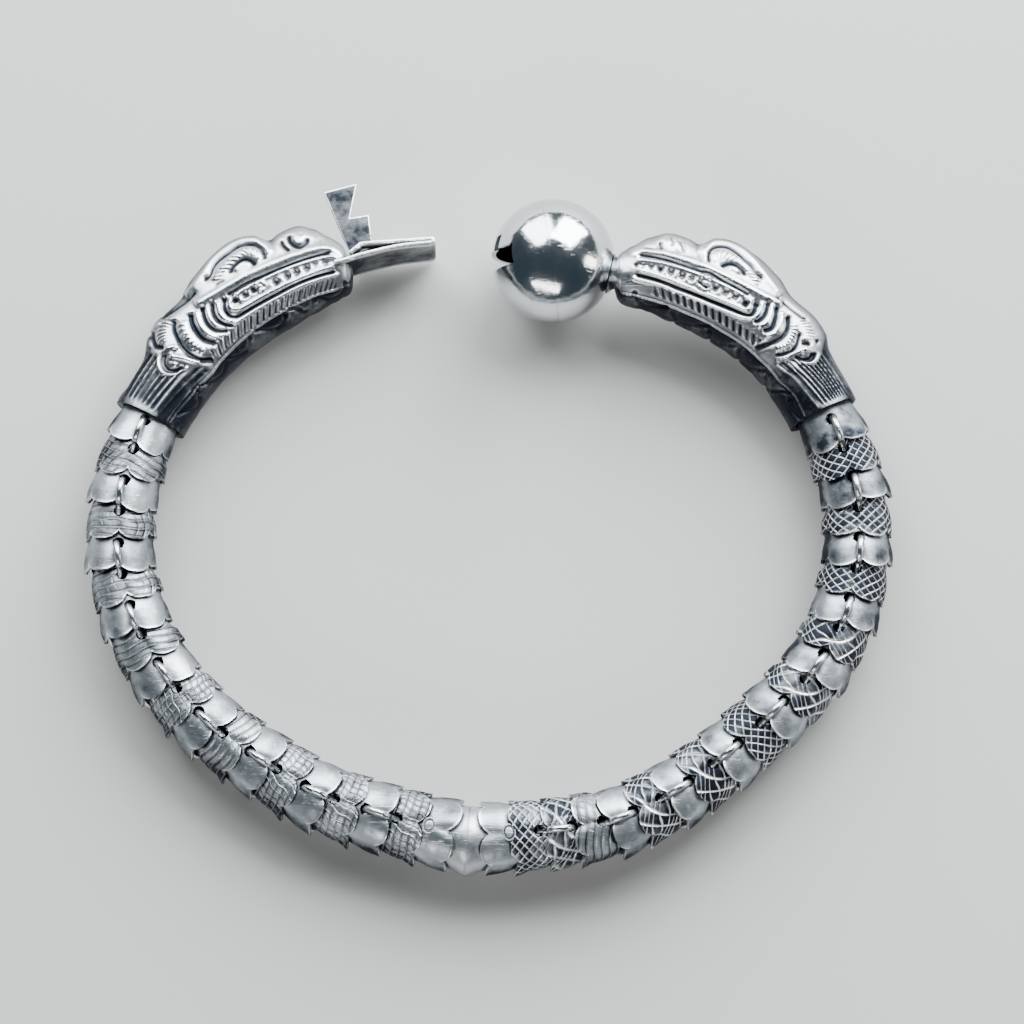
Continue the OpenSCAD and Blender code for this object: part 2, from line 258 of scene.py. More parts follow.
def alone(piece):
    bpy.ops.object.select_all(action="DESELECT")
    piece.select_set(True)
    bpy.context.view_layer.objects.active = piece


def points(piece):
    flat = np.empty(len(piece.data.vertices) * 3)
    piece.data.vertices.foreach_get("co", flat)
    return flat.reshape(-1, 3)


def setPoints(piece, places):
    piece.data.vertices.foreach_set("co", np.ascontiguousarray(places, dtype=np.float32).ravel())
    piece.data.update()


def paint(piece, **layers):
    # values from 0 to 1 at each point, which the finishes read
    for name, values in layers.items():
        layer = piece.data.attributes.new(name, "FLOAT", "POINT")
        layer.data.foreach_set("value", np.ascontiguousarray(np.clip(values, 0, 1), dtype=np.float32))


def editAll(piece):
    alone(piece)
    bpy.ops.object.mode_set(mode="EDIT")
    bpy.ops.mesh.select_all(action="SELECT")


def editChosen(piece, kind, chosen):
    # edit mode with only the chosen edges or faces selected
    alone(piece)
    bpy.ops.object.mode_set(mode="EDIT")
    bpy.ops.mesh.select_mode(type=kind)
    bpy.ops.mesh.select_all(action="DESELECT")
    bpy.ops.object.mode_set(mode="OBJECT")
    for item in piece.data.edges if kind == "EDGE" else piece.data.polygons:
        item.select = bool(chosen(item))
    bpy.ops.object.mode_set(mode="EDIT")


def leaveEdit():
    bpy.ops.object.mode_set(mode="OBJECT")


def faceOutward(piece, weld=None):
    editAll(piece)
    if weld:
        bpy.ops.mesh.remove_doubles(threshold=weld)
    bpy.ops.mesh.normals_make_consistent(inside=False)
    leaveEdit()


def applyModifier(piece, kind, **settings):
    alone(piece)
    modifier = piece.modifiers.new("step", kind)
    for name, value in settings.items():
        setattr(modifier, name, value)
    bpy.ops.object.modifier_apply(modifier="step")


def thicken(piece, wall):
    applyModifier(piece, "SOLIDIFY", thickness=wall * mm, offset=-1, use_even_offset=False)


def joinPieces(parts):
    alone(parts[0])
    for part in parts[1:]:
        part.select_set(True)
    bpy.ops.object.join()
    return bpy.context.object


def finishPiece(piece, node, material=None, angle=40):
    # one object per CAD node, at the origin, riding the bracelet
    alone(piece)
    bpy.ops.object.shade_smooth_by_angle(angle=math.radians(angle))
    piece.name = piece.data.name = node + "_look"
    if material:
        piece.data.materials.append(material)
    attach(piece, "root")
    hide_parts(node)


def latheTube(columns, rows, shape):
    # an open tube whose points are then placed by shape(angle, share along the tube)
    tube = newShape(bpy.ops.mesh.primitive_cylinder_add, vertices=columns, radius=1, depth=2, end_fill_type="NOTHING")
    z = points(tube)[:, 2]
    editChosen(tube, "EDGE", lambda edge: abs(z[edge.vertices[0]] - z[edge.vertices[1]]) > 1)
    bpy.ops.mesh.subdivide(number_cuts=rows - 2)
    leaveEdit()
    place = points(tube)
    angle = np.arctan2(place[:, 1], place[:, 0])
    x, radius, paints = shape(angle, (place[:, 2] + 1) / 2)
    setPoints(tube, np.stack([x, radius * np.cos(angle), radius * np.sin(angle)], 1) * mm)
    paint(tube, **paints)
    return tube


# Bands of the links, in mm. Angle 90 is the top of the chain; x runs towards the middle of the chain.
band = {
    # where the lobes end, in degrees from the top, how deep the notches there are, and each lobe's loss
    "lobes": [0, 66, 123, 180], "notches": [1.15, 1.5, 1.3, 1.15], "shorter": [0, 0.3, 0.1],
    # distance along the link and outer radius
    "engraved": [(-0.95, 2.8), (0.3, 3.3), (1.5, 3.72), (2.6, 3.93), (5.25, 4.08)],
    "plain": [(3.3, 3.46), (5.2, 3.72), (6.2, 3.98), (7.3, 4.12)], "collarFrom": (-4.3, 3.1),
    "tip": 4.2, "linkTaper": 0.132, "collarTaper": 0.188, "holeWide": 0.68,
    # height, and half width in degrees
    "valley": (0.24, 10), "lobeValley": (0.24, 9), "pillow": (0.10, 20), "reach": 2.6,
    "rim": 0.07, "rimLong": 0.3, "dent": 0.06, "lineDeep": 0.075, "lineWide": 0.105, "flankWide": 0.1,
    # how far the lobes on the chain's outer side stand off it, where the links are loose or tight
    "flare": 0.55, "tightFlare": -0.25, "plainFlare": -0.35, "flareWide": 24, "flareLong": 1.5,
    "outerCut": 1.0, "collarWobble": [0.0, -0.6, 0.0, -0.1, -0.6, 0.0],
    # painted shade under the next band's rim, tarnish in the valleys, painted shade on the sides, and painted shadow
    # round the wires and beside each line
    "lap": 0.42, "inValley": 0.3, "onSide": 0.75, "sideHalf": 42, "roundWire": 0.75, "beside": 0.6,
    "stainsAt": (34, 94, 151), "stain": 0.5,
    # painted shade along each chain, darkest beside the heads, fading towards the middle
    "patina": {"left": 0.14, "right": 0.52},
    # painted shade of fields and lines, and the lines' painted highlight: nets are bright on dark, the others dark on
    # bright
    "netTones": (0.7, 0.0, 0.8), "lineTones": (0.1, 0.42, 0.3),
    "columns": 204, "rows": 54, "plainColumns": 96, "plainRows": 24, "collarColumns": 112, "collarRows": 36,
}
patterns = {
    "left": ["scale", "grid", "grid", "scale", "brick", "scale", "brick", "brick", "brick"],
    "right": ["net", "net", "net", "leaf", "leaf", "net", "leaf", "leaf", "scale", "net"],
}


def lobeEdge(angle, tip, wobble):
    # how far the scalloped end reaches at each angle, in three lobes down each side
    turn = (np.degrees(angle) + 630) % 360 - 180  # 0 at the top, growing towards the outer side
    ends = np.array(band["lobes"])
    lobe = np.clip(np.searchsorted(ends, np.abs(turn), side="right") - 1, 0, 2)
    aside = 2 * (np.abs(turn) - ends[lobe]) / (ends[lobe + 1] - ends[lobe]) - 1
    notch, short = np.array(band["notches"])[lobe + (aside > 0)], np.array(band["shorter"])[lobe]
    return tip - short - (notch - short) * np.abs(aside) ** 2.6 + wobble[lobe + 3 * (turn > 0)] * bell(aside / 0.7)


def underNeighbour(x, angle, radius, turn, taper):
    # the same point seen from the band that laps over this one: past its edge, and how much too wide
    c, s = along(turn)
    y, z = radius * np.cos(angle), radius * np.sin(angle)
    xOther, yOther = c * x + s * y, c * y - s * x
    past = xOther - lobeEdge(np.arctan2(z, yOther), chain["past"], np.zeros(6))
    room = band["tip"] - chain["sheet"] - taper * (chain["past"] - xOther) - 0.05
    return past, np.hypot(yOther, z) - room


def patternLines(pattern, x, angle):
    # two families of engraved lines, counted in line pitches; whole turns keep them closed
    turns = angle / (2 * math.pi)
    if pattern == "grid":
        first = x / 0.92 + 0.16 * np.sin(3 * angle + 1) + 0.07 * np.sin(7 * angle + x)
        second = turns * 24 + 0.2 * np.sin(2.2 * x)
    elif pattern == "scale":
        first = x / 0.88 + turns * 4 + 0.14 * np.sin(5 * angle)
        second = turns * 22 - x / 1.8 + 0.1 * np.sin(3 * x)
    elif pattern == "brick":
        first = x / 0.84 + turns * 2 + 0.12 * np.sin(4 * angle)
        second = turns * 27 - x / 2.6 + 0.16 * np.sin(2.6 * x + 2 * angle)
    elif pattern == "net":
        first = x / 1.05 + turns * 19 + 0.09 * np.sin(5 * angle)
        second = x / 1.05 - turns * 19 + 0.09 * np.sin(6 * angle + 1)
    else:
        first = x / 0.8 + turns * 16 + 0.4 * np.sin(6 * angle + 1.3 * x)
        second = x / 2.4 - turns * 10 + 0.25 * np.sin(4 * angle)
    return first, second


def engraving(pattern, x, angle, crossed):
    # depth of the lines from 0 to 1, and the flank beside them that takes a painted shadow; crossed fades the second
    # family
    cut = flank = np.zeros_like(x)
    for line, share in zip(patternLines(pattern, x, angle), (1.0, crossed)):
        off = line - np.round(line)
        cut = np.maximum(cut, share * bell(off / band["lineWide"]))
        flank = np.maximum(flank, share * bell((off - 0.2) / band["flankWide"]))
    return cut, flank


def bandShape(profile, tip, wobble, pattern, cover, seed, flare, patina):
    knots, radii = zip(*profile)
    local = np.random.default_rng(seed)
    dents = local.uniform(-1, 1, (6, 3))
    crossAt, crossWide = local.uniform(0, 360), local.uniform(60, 130)
    stains = local.uniform(0.0, band["stain"], (3, 2)) * (0.4 if pattern else 1)
    flareAt, flareHigh = flare

    def relief(radius, turn, fromTop, back):
        # back is the distance from the rim
        reach = ease(1 - back / band["reach"])
        for (high, wide), middle in ((band["valley"], 0), (band["lobeValley"], band["lobes"][1])):
            radius = radius - high * bell((fromTop - middle) / wide) * reach
        high, wide = band["pillow"]
        radius = radius + high * bell((fromTop - band["lobes"][1] / 2) / wide) * reach
        radius = radius + band["rim"] * ease(1 - back / band["rimLong"]) * (0.6 + 0.4 * dents[0, 0])
        lift = flareHigh * (0.7 + 0.3 * dents[1, 0]) * bell(awayFrom(turn, flareAt) / band["flareWide"])
        radius = radius + lift * ease(1 - back / band["flareLong"]) ** 1.5
        for deep, at, wide in dents:
            around = bell(awayFrom(turn, 180 * at) / (18 + 8 * wide))
            radius = radius + band["dent"] * deep * around * bell((back - 1.3 - 0.6 * wide) / 0.8)
        return radius

    def tarnished(angle, turn, fromTop, back, past):
        # painted shade under the next band's rim, along the chain and on the sides, painted shadow round the wire,
        # tarnish in the valley and stains
        tarnish = (ease(1 - past / band["lap"]) + patina
                   + band["inValley"] * bell(fromTop / 6) * ease(1 - back / band["reach"])
                   + band["onSide"] * ease((band["sideHalf"] - np.abs(fromTop - 90)) / 40)
                   + band["roundWire"] * bell(4 * np.cos(angle) / 0.55) * bell((past - 0.2) / 0.5))
        for middle, strengths in zip(band["stainsAt"], stains):
            for strength, at in zip(strengths, (90 + middle, 90 - middle)):
                tarnish = tarnish + strength * bell(awayFrom(turn, at) / 23) * bell(back - 1.2)
        return tarnish

    def shape(angle, share):
        edge = lobeEdge(angle, tip, wobble)
        x = profile[0][0] + (edge - profile[0][0]) * (1 - (1 - share) ** 1.5)  # rows crowd towards the rim
        back = edge - x
        turn = np.degrees(angle) % 360
        fromTop = np.abs((turn + 90) % 360 - 180)
        past, radius = cover(x, angle, relief(np.interp(x, knots, radii), turn, fromTop, back))
        # the rim takes worn silver with a painted highlight
        tarnish, rubbed = tarnished(angle, turn, fromTop, back, past), ease(1 - back / 0.24)
        if not pattern:
            return x, radius, {"tarnish": tarnish, "rubbed": rubbed}
        crossed = 1.0
        if pattern in ("grid", "scale"):
            crossed = 0.15 + 0.85 * ease((crossWide - np.abs(awayFrom(turn, crossAt))) / 20)
        cut, flank = engraving(pattern, x, angle, crossed)
        radius = radius - band["lineDeep"] * cut * (ease(back / 0.25) * 0.6 + 0.4) + 0.02
        # painted shade on fields and lines by their tones, painted shadow beside each line, and a painted highlight in
        # the lines
        field, line, lineHighlight = band["netTones" if pattern in ("net", "leaf") else "lineTones"]
        tarnish = tarnish + field * (1 - cut) + line * cut + band["beside"] * flank
        every = np.ones_like(x)
        return x, radius, {"tarnish": tarnish, "rubbed": np.maximum(rubbed, lineHighlight * cut),
                           "lineHighlight": lineHighlight * every, "engraved": crossed * every}
    return shape


def markPattern(piece, pattern):
    # the same lines as a map for the fine bump, unwrapped face by face across the seam
    mesh = piece.data
    place = points(piece) / mm
    loops = np.empty(len(mesh.loops), dtype=np.int64)
    mesh.loops.foreach_get("vertex_index", loops)
    owner = np.repeat(np.arange(len(mesh.polygons)), [p.loop_total for p in mesh.polygons])
    angle = np.arctan2(place[:, 2], place[:, 1])[loops]
    centre = np.arctan2(np.bincount(owner, np.sin(angle)), np.bincount(owner, np.cos(angle)))[owner]
    angle = centre + (angle - centre + math.pi) % (2 * math.pi) - math.pi
    layer = mesh.uv_layers.new(name="pattern")
    lines = patternLines(pattern, place[loops, 0], angle)
    layer.data.foreach_set("uv", np.stack(lines, 1).astype(np.float32).ravel())


def punchHole(piece, x):
    # opens the wire hole top and bottom, its rim pulled onto a circle
    half = band["holeWide"] * mm

    def inside(face):
        return math.hypot(face.center.x - x * mm, face.center.y) < half and abs(face.center.z) > mm

    editChosen(piece, "FACE", inside)
    bpy.ops.mesh.delete(type="FACE")
    leaveEdit()
    place = points(piece)
    away = np.hypot(place[:, 0] - x * mm, place[:, 1])
    rim = (away < half + 0.12 * mm) & (np.abs(place[:, 2]) > mm)
    factor = np.where(rim, half / np.maximum(away, 1e-9), 1)
    place[:, 0] = x * mm + (place[:, 0] - x * mm) * factor
    place[:, 1] = place[:, 1] * factor
    setPoints(piece, place)


def makeBand(columns, rows, hole, pattern, **settings):
    piece = latheTube(columns, rows, bandShape(pattern=pattern, **settings))
    if pattern:
        markPattern(piece, pattern)
    piece.data.materials.append(engravedSilver if pattern else linkSilver)
    punchHole(piece, hole)
    thicken(piece, chain["sheet"])
    return piece


def makeLink(side, i):
    # link i counted from the head: an engraved band that laps over a plain one
    run = chain[side]
    n = run["links"] - i
    tip, lap = run["pitch"] + chain["past"], band["engraved"][-1][0]
    seed = i * 7 + (300 if side == "right" else 0)
    wobble = np.random.default_rng(seed + 50).uniform(-0.2, 0.1, (2, 6))
    loose = i > run["tight"]
    if not loose:
        wobble[:, 4 if side == "left" else 1] -= band["outerCut"]
    turn = (run["neck"] if i == 1 else heading(side, n + 1)) - heading(side, n)
    taper = band["collarTaper" if i == 1 else "linkTaper"]
    # painted shade that grows towards the head
    patina = band["patina"][side] * n / run["links"]

    def underNext(x, angle, radius):
        past, tooWide = underNeighbour(x, angle, radius, turn, taper)
        return past, radius - np.maximum(tooWide, 0) * ease((0.3 - past) / 0.3)

    def underOwn(x, angle, radius):
        return x - lobeEdge(angle, lap, wobble[0]), radius

    front = makeBand(
        band["columns"], band["rows"], chain["hole"], patterns[side][i - 1], profile=band["engraved"], tip=lap,
        wobble=wobble[0], cover=underNext, seed=seed, patina=patina,
        flare=(run["outer"], band["flare" if loose else "tightFlare"]))
    back = makeBand(
        band["plainColumns"], band["plainRows"], run["pitch"] - chain["hole"],
        "leaf" if side == "right" and i == 9 else None, profile=band["plain"] + [(tip, band["tip"])], tip=tip,
        wobble=wobble[1], cover=underOwn, seed=seed + 1, patina=patina,
        flare=(run["outer"], 0 if loose else band["plainFlare"]))
    link = joinPieces([front, back])
    link.data.transform(toChain(side, n, heading(side, n)))
    finishPiece(link, f"link_{side}_{i}")


def makeCollar(side):
    run = chain[side]
    collar = makeBand(
        band["collarColumns"], band["collarRows"], -chain["hole"], None, patina=band["patina"][side],
        profile=[band["collarFrom"], (chain["past"], band["tip"])], tip=chain["past"], seed=run["collarSeed"],
        wobble=np.array(band["collarWobble"]), flare=(run["outer"], band["plainFlare"]),
        cover=lambda x, angle, radius: (x + 9, radius))  # nothing laps over it
    collar.data.transform(toChain(side, run["links"] - 1, run["neck"]))
    finishPiece(collar, f"collar_{side}")


for side in ("left", "right"):
    for i in range(1, chain[side]["links"] + 1):
        makeLink(side, i)
    makeCollar(side)
print("links and collars ready")


# Staples: a closed loop of wire above and below the chain at every joint
staple = {"bend": 1.4, "sides": 12, "steps": 14, "kink": 0.09}


def wireLoop():
    thick = chain["wire"] / 2
    half = chain["hole"] - staple["bend"]
    loop = newShape(bpy.ops.mesh.primitive_circle_add, vertices=staple["sides"], radius=thick * mm,
                    location=(chain["hole"] * mm, 0, 0))
    bpy.ops.object.transform_apply(location=True, rotation=True, scale=True)
    editAll(loop)
    for end in (half, -half):
        bpy.ops.mesh.spin(steps=staple["steps"], angle=-math.pi, center=(end * mm, 0, 0), axis=(0, 1, 0))
        bpy.ops.mesh.extrude_region_move(TRANSFORM_OT_translate={"value": (-2 * end * mm, 0, 0)})
    leaveEdit()
    faceOutward(loop, 2e-6)
    _, y, z = points(loop).T / mm
    # painted shade on the wire's lower half inside the link and down the wire's sides
    paint(loop, tarnish=0.7 * ease(-z * 1.6) + 0.5 * ease((np.abs(y) - 0.2) / 0.2))
    setPoints(loop, points(loop) + [0, 0, (chain["height"] - thick - staple["bend"]) * mm])
    return loop


def makeStaple(master, side, i):
    run = chain[side]
    n = run["links"] - i
    before = run["neck"] if i == 1 else heading(side, n + 1)
    pair = []
    for flip in (0, 180):
        loop = master.copy()
        loop.data = master.data.copy()
        bpy.context.collection.objects.link(loop)
        place = points(loop)
        kink = rng.uniform(-staple["kink"], staple["kink"])
        place[:, 1] += kink * mm * np.sin(place[:, 0] / mm * 0.9 + rng.uniform(0, 3))
        setPoints(loop, place)
        loop.data.transform(Matrix.Rotation(math.radians(flip), 4, "X"))
        pair.append(loop)
    both = joinPieces(pair)
    both.data.transform(toChain(side, n, (before + heading(side, n)) / 2))
    finishPiece(both, f"staple_{side}_{i}", wireSilver, 60)


master = wireLoop()
for side in ("left", "right"):
    for i in range(1, chain[side]["links"] + 1):
        makeStaple(master, side, i)
bpy.data.objects.remove(master)
print("staples ready")


# Centre tube: two flared tubes that meet at a soldered bend
centre = {"profile": [(4.6, 3.0), (8.9, 3.7), (10.6, 4.2)], "wall": 0.5, "mitre": 9.0, "seam": 0.07}


def halfTube(side):
    knots, radii = zip(*centre["profile"])
    lean = math.tan(math.radians(centre["mitre"])) * (1 if side == "left" else -1)

    def shape(angle, share):
        end = chain["arm"] - lean * np.interp(chain["arm"], knots, radii) * np.cos(angle)
        x = knots[0] + (end - knots[0]) * share
        radius = np.interp(x, knots, radii) - centre["seam"] * bell((end - x) / 0.35)
        past = x - lobeEdge(angle, chain[side]["pitch"] + chain["past"], np.zeros(6)) - 0.1
        # painted shade under and along the links' rims, and a dark soldered seam at the bend
        tarnish = 0.8 * bell(past / 0.2) + ease(1 - (past + 0.5) / 0.4) + 0.35 * bell((end - x) / 0.1)
        return x, radius, {"tarnish": tarnish}
    tube = latheTube(96, 30, shape)
    tube.data.transform(toChain(side, 0, heading(side, 0)))
    return tube


tube = joinPieces([halfTube("left"), halfTube("right")])
faceOutward(tube, 0.00004)
thicken(tube, centre["wall"])
finishPiece(tube, "centre_tube", plainSilver)


# Rivets: oval domes with a ring pressed round each, in mm
rivet = {"wide": 1.05, "oval": 0.78, "from": 2.3, "top": 4.08, "dome": 0.20, "ring": 0.66, "shank": 0.55, "sink": -0.32}


def rivetHead():
    dome = newShape(bpy.ops.mesh.primitive_uv_sphere_add, segments=40, ring_count=24, radius=1)
    x, y, up = points(dome).T
    away, turn, above = np.hypot(x, y), np.arctan2(y, x), up > 0
    high = rivet["dome"] * np.sqrt(np.maximum(1 - away ** 2, 0)) - 0.09 * bell((away - rivet["ring"]) / 0.12)
    z = rivet["top"] + np.where(above, high, up * (rivet["top"] - rivet["from"]))
    out = away * rivet["wide"] * np.where(up < -0.2, rivet["shank"], 1)
    setPoints(dome, np.stack([out * rivet["oval"] * np.cos(turn), out * np.sin(turn), z], 1) * mm)
    paint(dome, tarnish=0.8 * bell((away - rivet["ring"]) / 0.1) * above + 0.8 * (away > 0.93))
    return dome


rivetHeads = []
for side in ("left", "right"):
    for flip in (0, 180):
        dome = rivetHead()
        dome.data.transform(
            toChain(side, 0, heading(side, 0)) @ Matrix.Rotation(math.radians(flip), 4, "X")
            @ Matrix.Translation(((chain[side]["pitch"] - chain["hole"]) * mm, 0, rivet["sink"] * mm)))
        rivetHeads.append(dome)
finishPiece(joinPieces(rivetHeads), "rivets", plainSilver, 60)
print("centre tube and rivets ready")


# Heads. Their chased work is drawn along t, from neck to snout, and across w, outwards. Both are
# counted in pixels of the photograph, from the arc through the middle of each head as it is seen.
px = 0.114  # mm
headShape = {
    "length": 29.4, "rings": 238, "over": 156, "chin": 28, "crease": 0.68, "chinStep": 0.2,
    # each side's neck tone is painted shade over the neck end
    "left": {"radius": 34.8, "share": 1.0, "nose": 0.5, "neckShade": 0.52, "wide": 1.04, "rise": 0.0,
             "arc": (415.7, 567.5, 306.6, -150.82, 1)},
    "right": {"radius": 27.0, "share": 0.965, "nose": 1.75, "neckShade": 0.6, "wide": 0.95, "rise": 2.1,
              "arc": (612.0, 518.5, 241.7, -26.15, -1)},
    # distance from the neck, outer reach, inner reach, half height in mm
    "sections": [
        (0.0, 4.15, 4.3, 4.35), (5.7, 4.5, 4.3, 4.4), (7.4, 5.5, 4.2, 4.4), (9.0, 5.8, 4.2, 4.4),
        (12.2, 5.7, 4.2, 4.45), (14.5, 6.7, 4.2, 4.45), (17.2, 7.4, 4.2, 4.4), (20.0, 7.5, 4.2, 4.35),
        (21.5, 7.0, 4.1, 4.35), (22.5, 5.8, 4.0, 4.3), (24.0, 6.1, 3.9, 4.1), (25.8, 6.1, 3.6, 3.8),
        (27.0, 5.2, 3.4, 3.6), (28.0, 3.9, 3.2, 3.5), (28.7, 3.1, 2.9, 3.2), (29.15, 2.4, 2.3, 2.7),
        (29.4, 1.5, 1.5, 1.9)],
    # rings of the hollow neck as distance and radius, and of the closed snout as distance past it and scale
    "neckRings": [(6.0, 0.02), (6.0, 3.3), (3.0, 3.45), (0.12, 3.6)],
    "snoutRings": [(0.12, 0.8), (0.2, 0.45), (0.22, 0.0)],
}
chasing = {}
chasing["left"] = {
    "crease": [(-10, -21), (20, -22), (40, -24), (60, -24.5), (78, -25.5), (92, -23), (113, -21.5), (147, -19),
               (180, -18), (217, -17), (247, -18), (262, -16)],
    "crests": [-17, -10.3, -3.7, 2.8, 9.2, 14.6, 20.8, 25.3, 30, 34, 38],
    "lean": [(-10, -0.11), (-4, -0.088), (3, -0.1), (9, -0.083), (15, -0.03), (21, 0), (33, 0.06)],
    "fluteEnd": [(-16, 80), (-8, 72), (-2, 62), (4, 52), (12, 44), (20, 46), (27, 56), (36, 54)],
    # path, half width, height in mm
    "ridges": [
        ([(110, 36), (130, 33), (160, 30.5), (200, 28.5), (235, 26.5), (250, 19), (257, 9)], 4.2, 0.30),
        ([(127, -2.5), (140, -3), (178, -3.2), (212, -2), (248, -3)], 2.0, 0.22),
        ([(150, 19.5), (142, 19), (136.5, 15.5), (136.5, 10.5), (142, 6.5), (150, 5), (180, 4.5), (215, 5),
          (246, 6)], 2.2, 0.22),
        ([(142, 20.5), (180, 19.3), (220, 18), (243, 15.5), (251, 9)], 2.2, 0.22),
        ([(61, 19), (64.5, 12.7), (68.7, 6), (73, -2.3), (79, -11)], 2.6, 0.30),
        ([(62, 24), (66, 24), (70, 21), (73, 15)], 2.3, 0.22),
        ([(56, 27), (49.5, 22.5), (45.8, 16), (45.5, 12), (48, 6), (53, 1.5), (62, -2.2), (66, -4)], 1.3, 0.18),
        ([(56, 37), (60.5, 43), (69, 47.5), (80, 47)], 1.6, 0.16),
        ([(96, 33), (89, 26), (86, 16), (86, 4), (90, -6)], 4.0, 0.16),
        ([(109, 32), (105, 24), (102.3, 15), (102.8, 4), (108, -5)], 3.0, 0.24),
        ([(119, 29), (115.6, 22), (113.6, 14), (115, 5), (121, -3)], 2.4, 0.24),
        ([(130, 26), (126.5, 20), (124, 13), (125, 5), (131, -1.5)], 2.8, 0.26),
        ([(108, 49), (122, 52), (135, 56), (147, 61.5), (160, 65), (172, 65), (182, 61), (190, 54), (193, 46),
          (192, 38)], 3.2, 0.26),
        ([(136, 43), (147, 47.5), (157, 51), (167, 53), (176, 52), (181, 46), (181.5, 38)], 3.6, 0.14),
        ([(156, 40), (163, 43), (169, 42), (172, 37)], 3.0, 0.16),
        ([(144, 13), (180, 11.5), (215, 11.5), (240, 10.5)], 6.0, 0.17),
        ([(-3, -17.5), (20, -18.5), (50, -20.5)], 1.0, 0.12)],
    # path, half width, depth in mm
    "grooves": [
        ([(68, 50), (63, 43), (60.5, 37), (62, 32), (66, 28)], 2.8, 0.42),
        ([(80, 50), (90, 47.5), (100, 46), (110, 45), (121, 47)], 1.6, 0.25),
        ([(90, 40), (84.5, 37), (80.3, 30), (77, 20), (75.3, 12), (76, 2.7), (79, -7.3), (83.7, -13),
          (90, -18)], 2.7, 0.45),
        ([(104, 34.5), (99.5, 28.5), (96.6, 21), (95.3, 12), (96, 4.3), (99.5, -3), (104, -8)], 2.9, 0.45),
        ([(115.5, 32), (112, 25), (109.5, 18), (108.7, 12), (110.3, 5), (115.3, -1.5), (122, -6)], 1.9, 0.38),
        ([(125, 28), (120.5, 21), (118.3, 13.5), (119.5, 7), (123, 0), (128, -5)], 1.9, 0.38),
        ([(138, 25), (134, 21), (130.5, 15), (130, 11), (130.8, 6), (135, 1.5), (142, 0.4), (178, -0.6), (212, 0.8),
          (246, -0.2)], 1.5, 0.36),
        ([(138, 25.5), (146, 25), (158, 24.8), (168, 24), (176, 22.8), (200, 21.8), (220, 21.3),
          (246, 20)], 1.7, 0.34),
        ([(62, 24), (55, 21), (51, 16), (50.5, 10), (53, 5), (58, 1.5), (64, 0.5)], 2.6, 0.45),
        ([(65, 20), (69, 17.5), (72, 15)], 1.4, 0.22),
        ([(129, 50.5), (137, 51.5), (143, 56), (150, 58.8), (160, 60), (170, 61), (177.5, 58.8), (184, 53.8),
          (187, 48),
          (187, 42), (185.8, 35.5)], 1.7, 0.36),
        ([(151, 41.5), (156.7, 45), (164, 47), (170, 46.3), (174, 42), (177, 34.5)], 2.1, 0.40),
        ([(206, 49), (205.6, 43), (208.3, 36.3), (211, 34)], 1.7, 0.38),
        ([(214, 50.5), (212.5, 45.5), (214, 39), (219, 34.5), (225, 36), (229.5, 41)], 2.2, 0.42),
        ([(224, 48), (222, 43)], 1.0, 0.14),
        ([(134, 39.5), (147, 38.5)], 1.0, 0.14),
        ([(17, -22), (27, -29.8), (37, -36.5), (44, -35), (50, -29.5), (55, -24.5)], 1.3, 0.26),
        ([(55.3, -21.5), (63, -27.3), (72, -32.3), (84, -34), (92, -31), (98, -25.5)], 1.4, 0.28),
        ([(98, -25), (110, -30.7), (122, -32.5), (131, -28.5), (136.5, -21)], 1.4, 0.28),
        ([(140, -19), (150, -25.3), (158, -29.5), (168, -31), (175, -29), (179.6, -25), (180.5, -19)], 1.6, 0.32),
        ([(183, -17.5), (192.5, -22), (198, -28), (204, -29.5), (210, -27.5), (214, -23), (216.5, -17.8)], 1.8, 0.34),
        ([(217, -18), (226, -23.7), (235, -26), (243, -24.5), (249, -19), (252, -10)], 1.6, 0.32)],
    # path of a row of strokes, half width, pitch at each end, slant, depth in mm
    "rows": [
        ([(92, 33), (86.5, 25), (84.8, 15), (85, 5), (89, -6)], 4.2, (5.2, 5.0), 0.0, 0.2),
        ([(65, 31), (70, 37), (78, 41.5), (90, 43.5)], 5.2, (3.3, 3.6), 0.45, 0.2),
        ([(92, -14), (110, -11.5), (150, -11.3), (200, -11), (243, -11.5)], 6.6, (9.5, 5.2), -0.65, 0.24),
        ([(137, 43.5), (147, 47), (157, 50.5), (167, 53), (176, 51.5), (181, 46)], 4.0, (4.4, 5.0), 0.9, 0.18)],
    # place, half width, depth in mm
    "pits": [
        (143.5, 16.3, 3.0, 0.4), (154, 14.7, 3.2, 0.42), (163.5, 14.7, 3.2, 0.42), (185.8, 10.8, 3.4, 0.42),
        (198.3, 11.3, 3.4, 0.42),
        (207.5, 11.3, 3.2, 0.4), (218.3, 11.5, 3.2, 0.4), (227, 12.3, 2.4, 0.25), (236.7, 10.8, 2.6, 0.3),
        (114.5, 30, 2.4, 0.2), (123.5, 28.5, 2.6, 0.25), (135, 24, 2.8, 0.25), (56, 6, 4, 0.12),
        (53.5, -26.5, 3, 0.2), (134, -24, 3, 0.2), (179.5, -23, 3.5, 0.25), (214.5, -21.5, 3.5, 0.25),
        (195, -25, 3.5, 0.2)],
    "bosses": [(58.5, 7.5, 2.2, 0.2), (222, 42, 7.5, 0.2), (164, 38, 6, 0.14)],
    "knot": (170.5, 14.5),
}
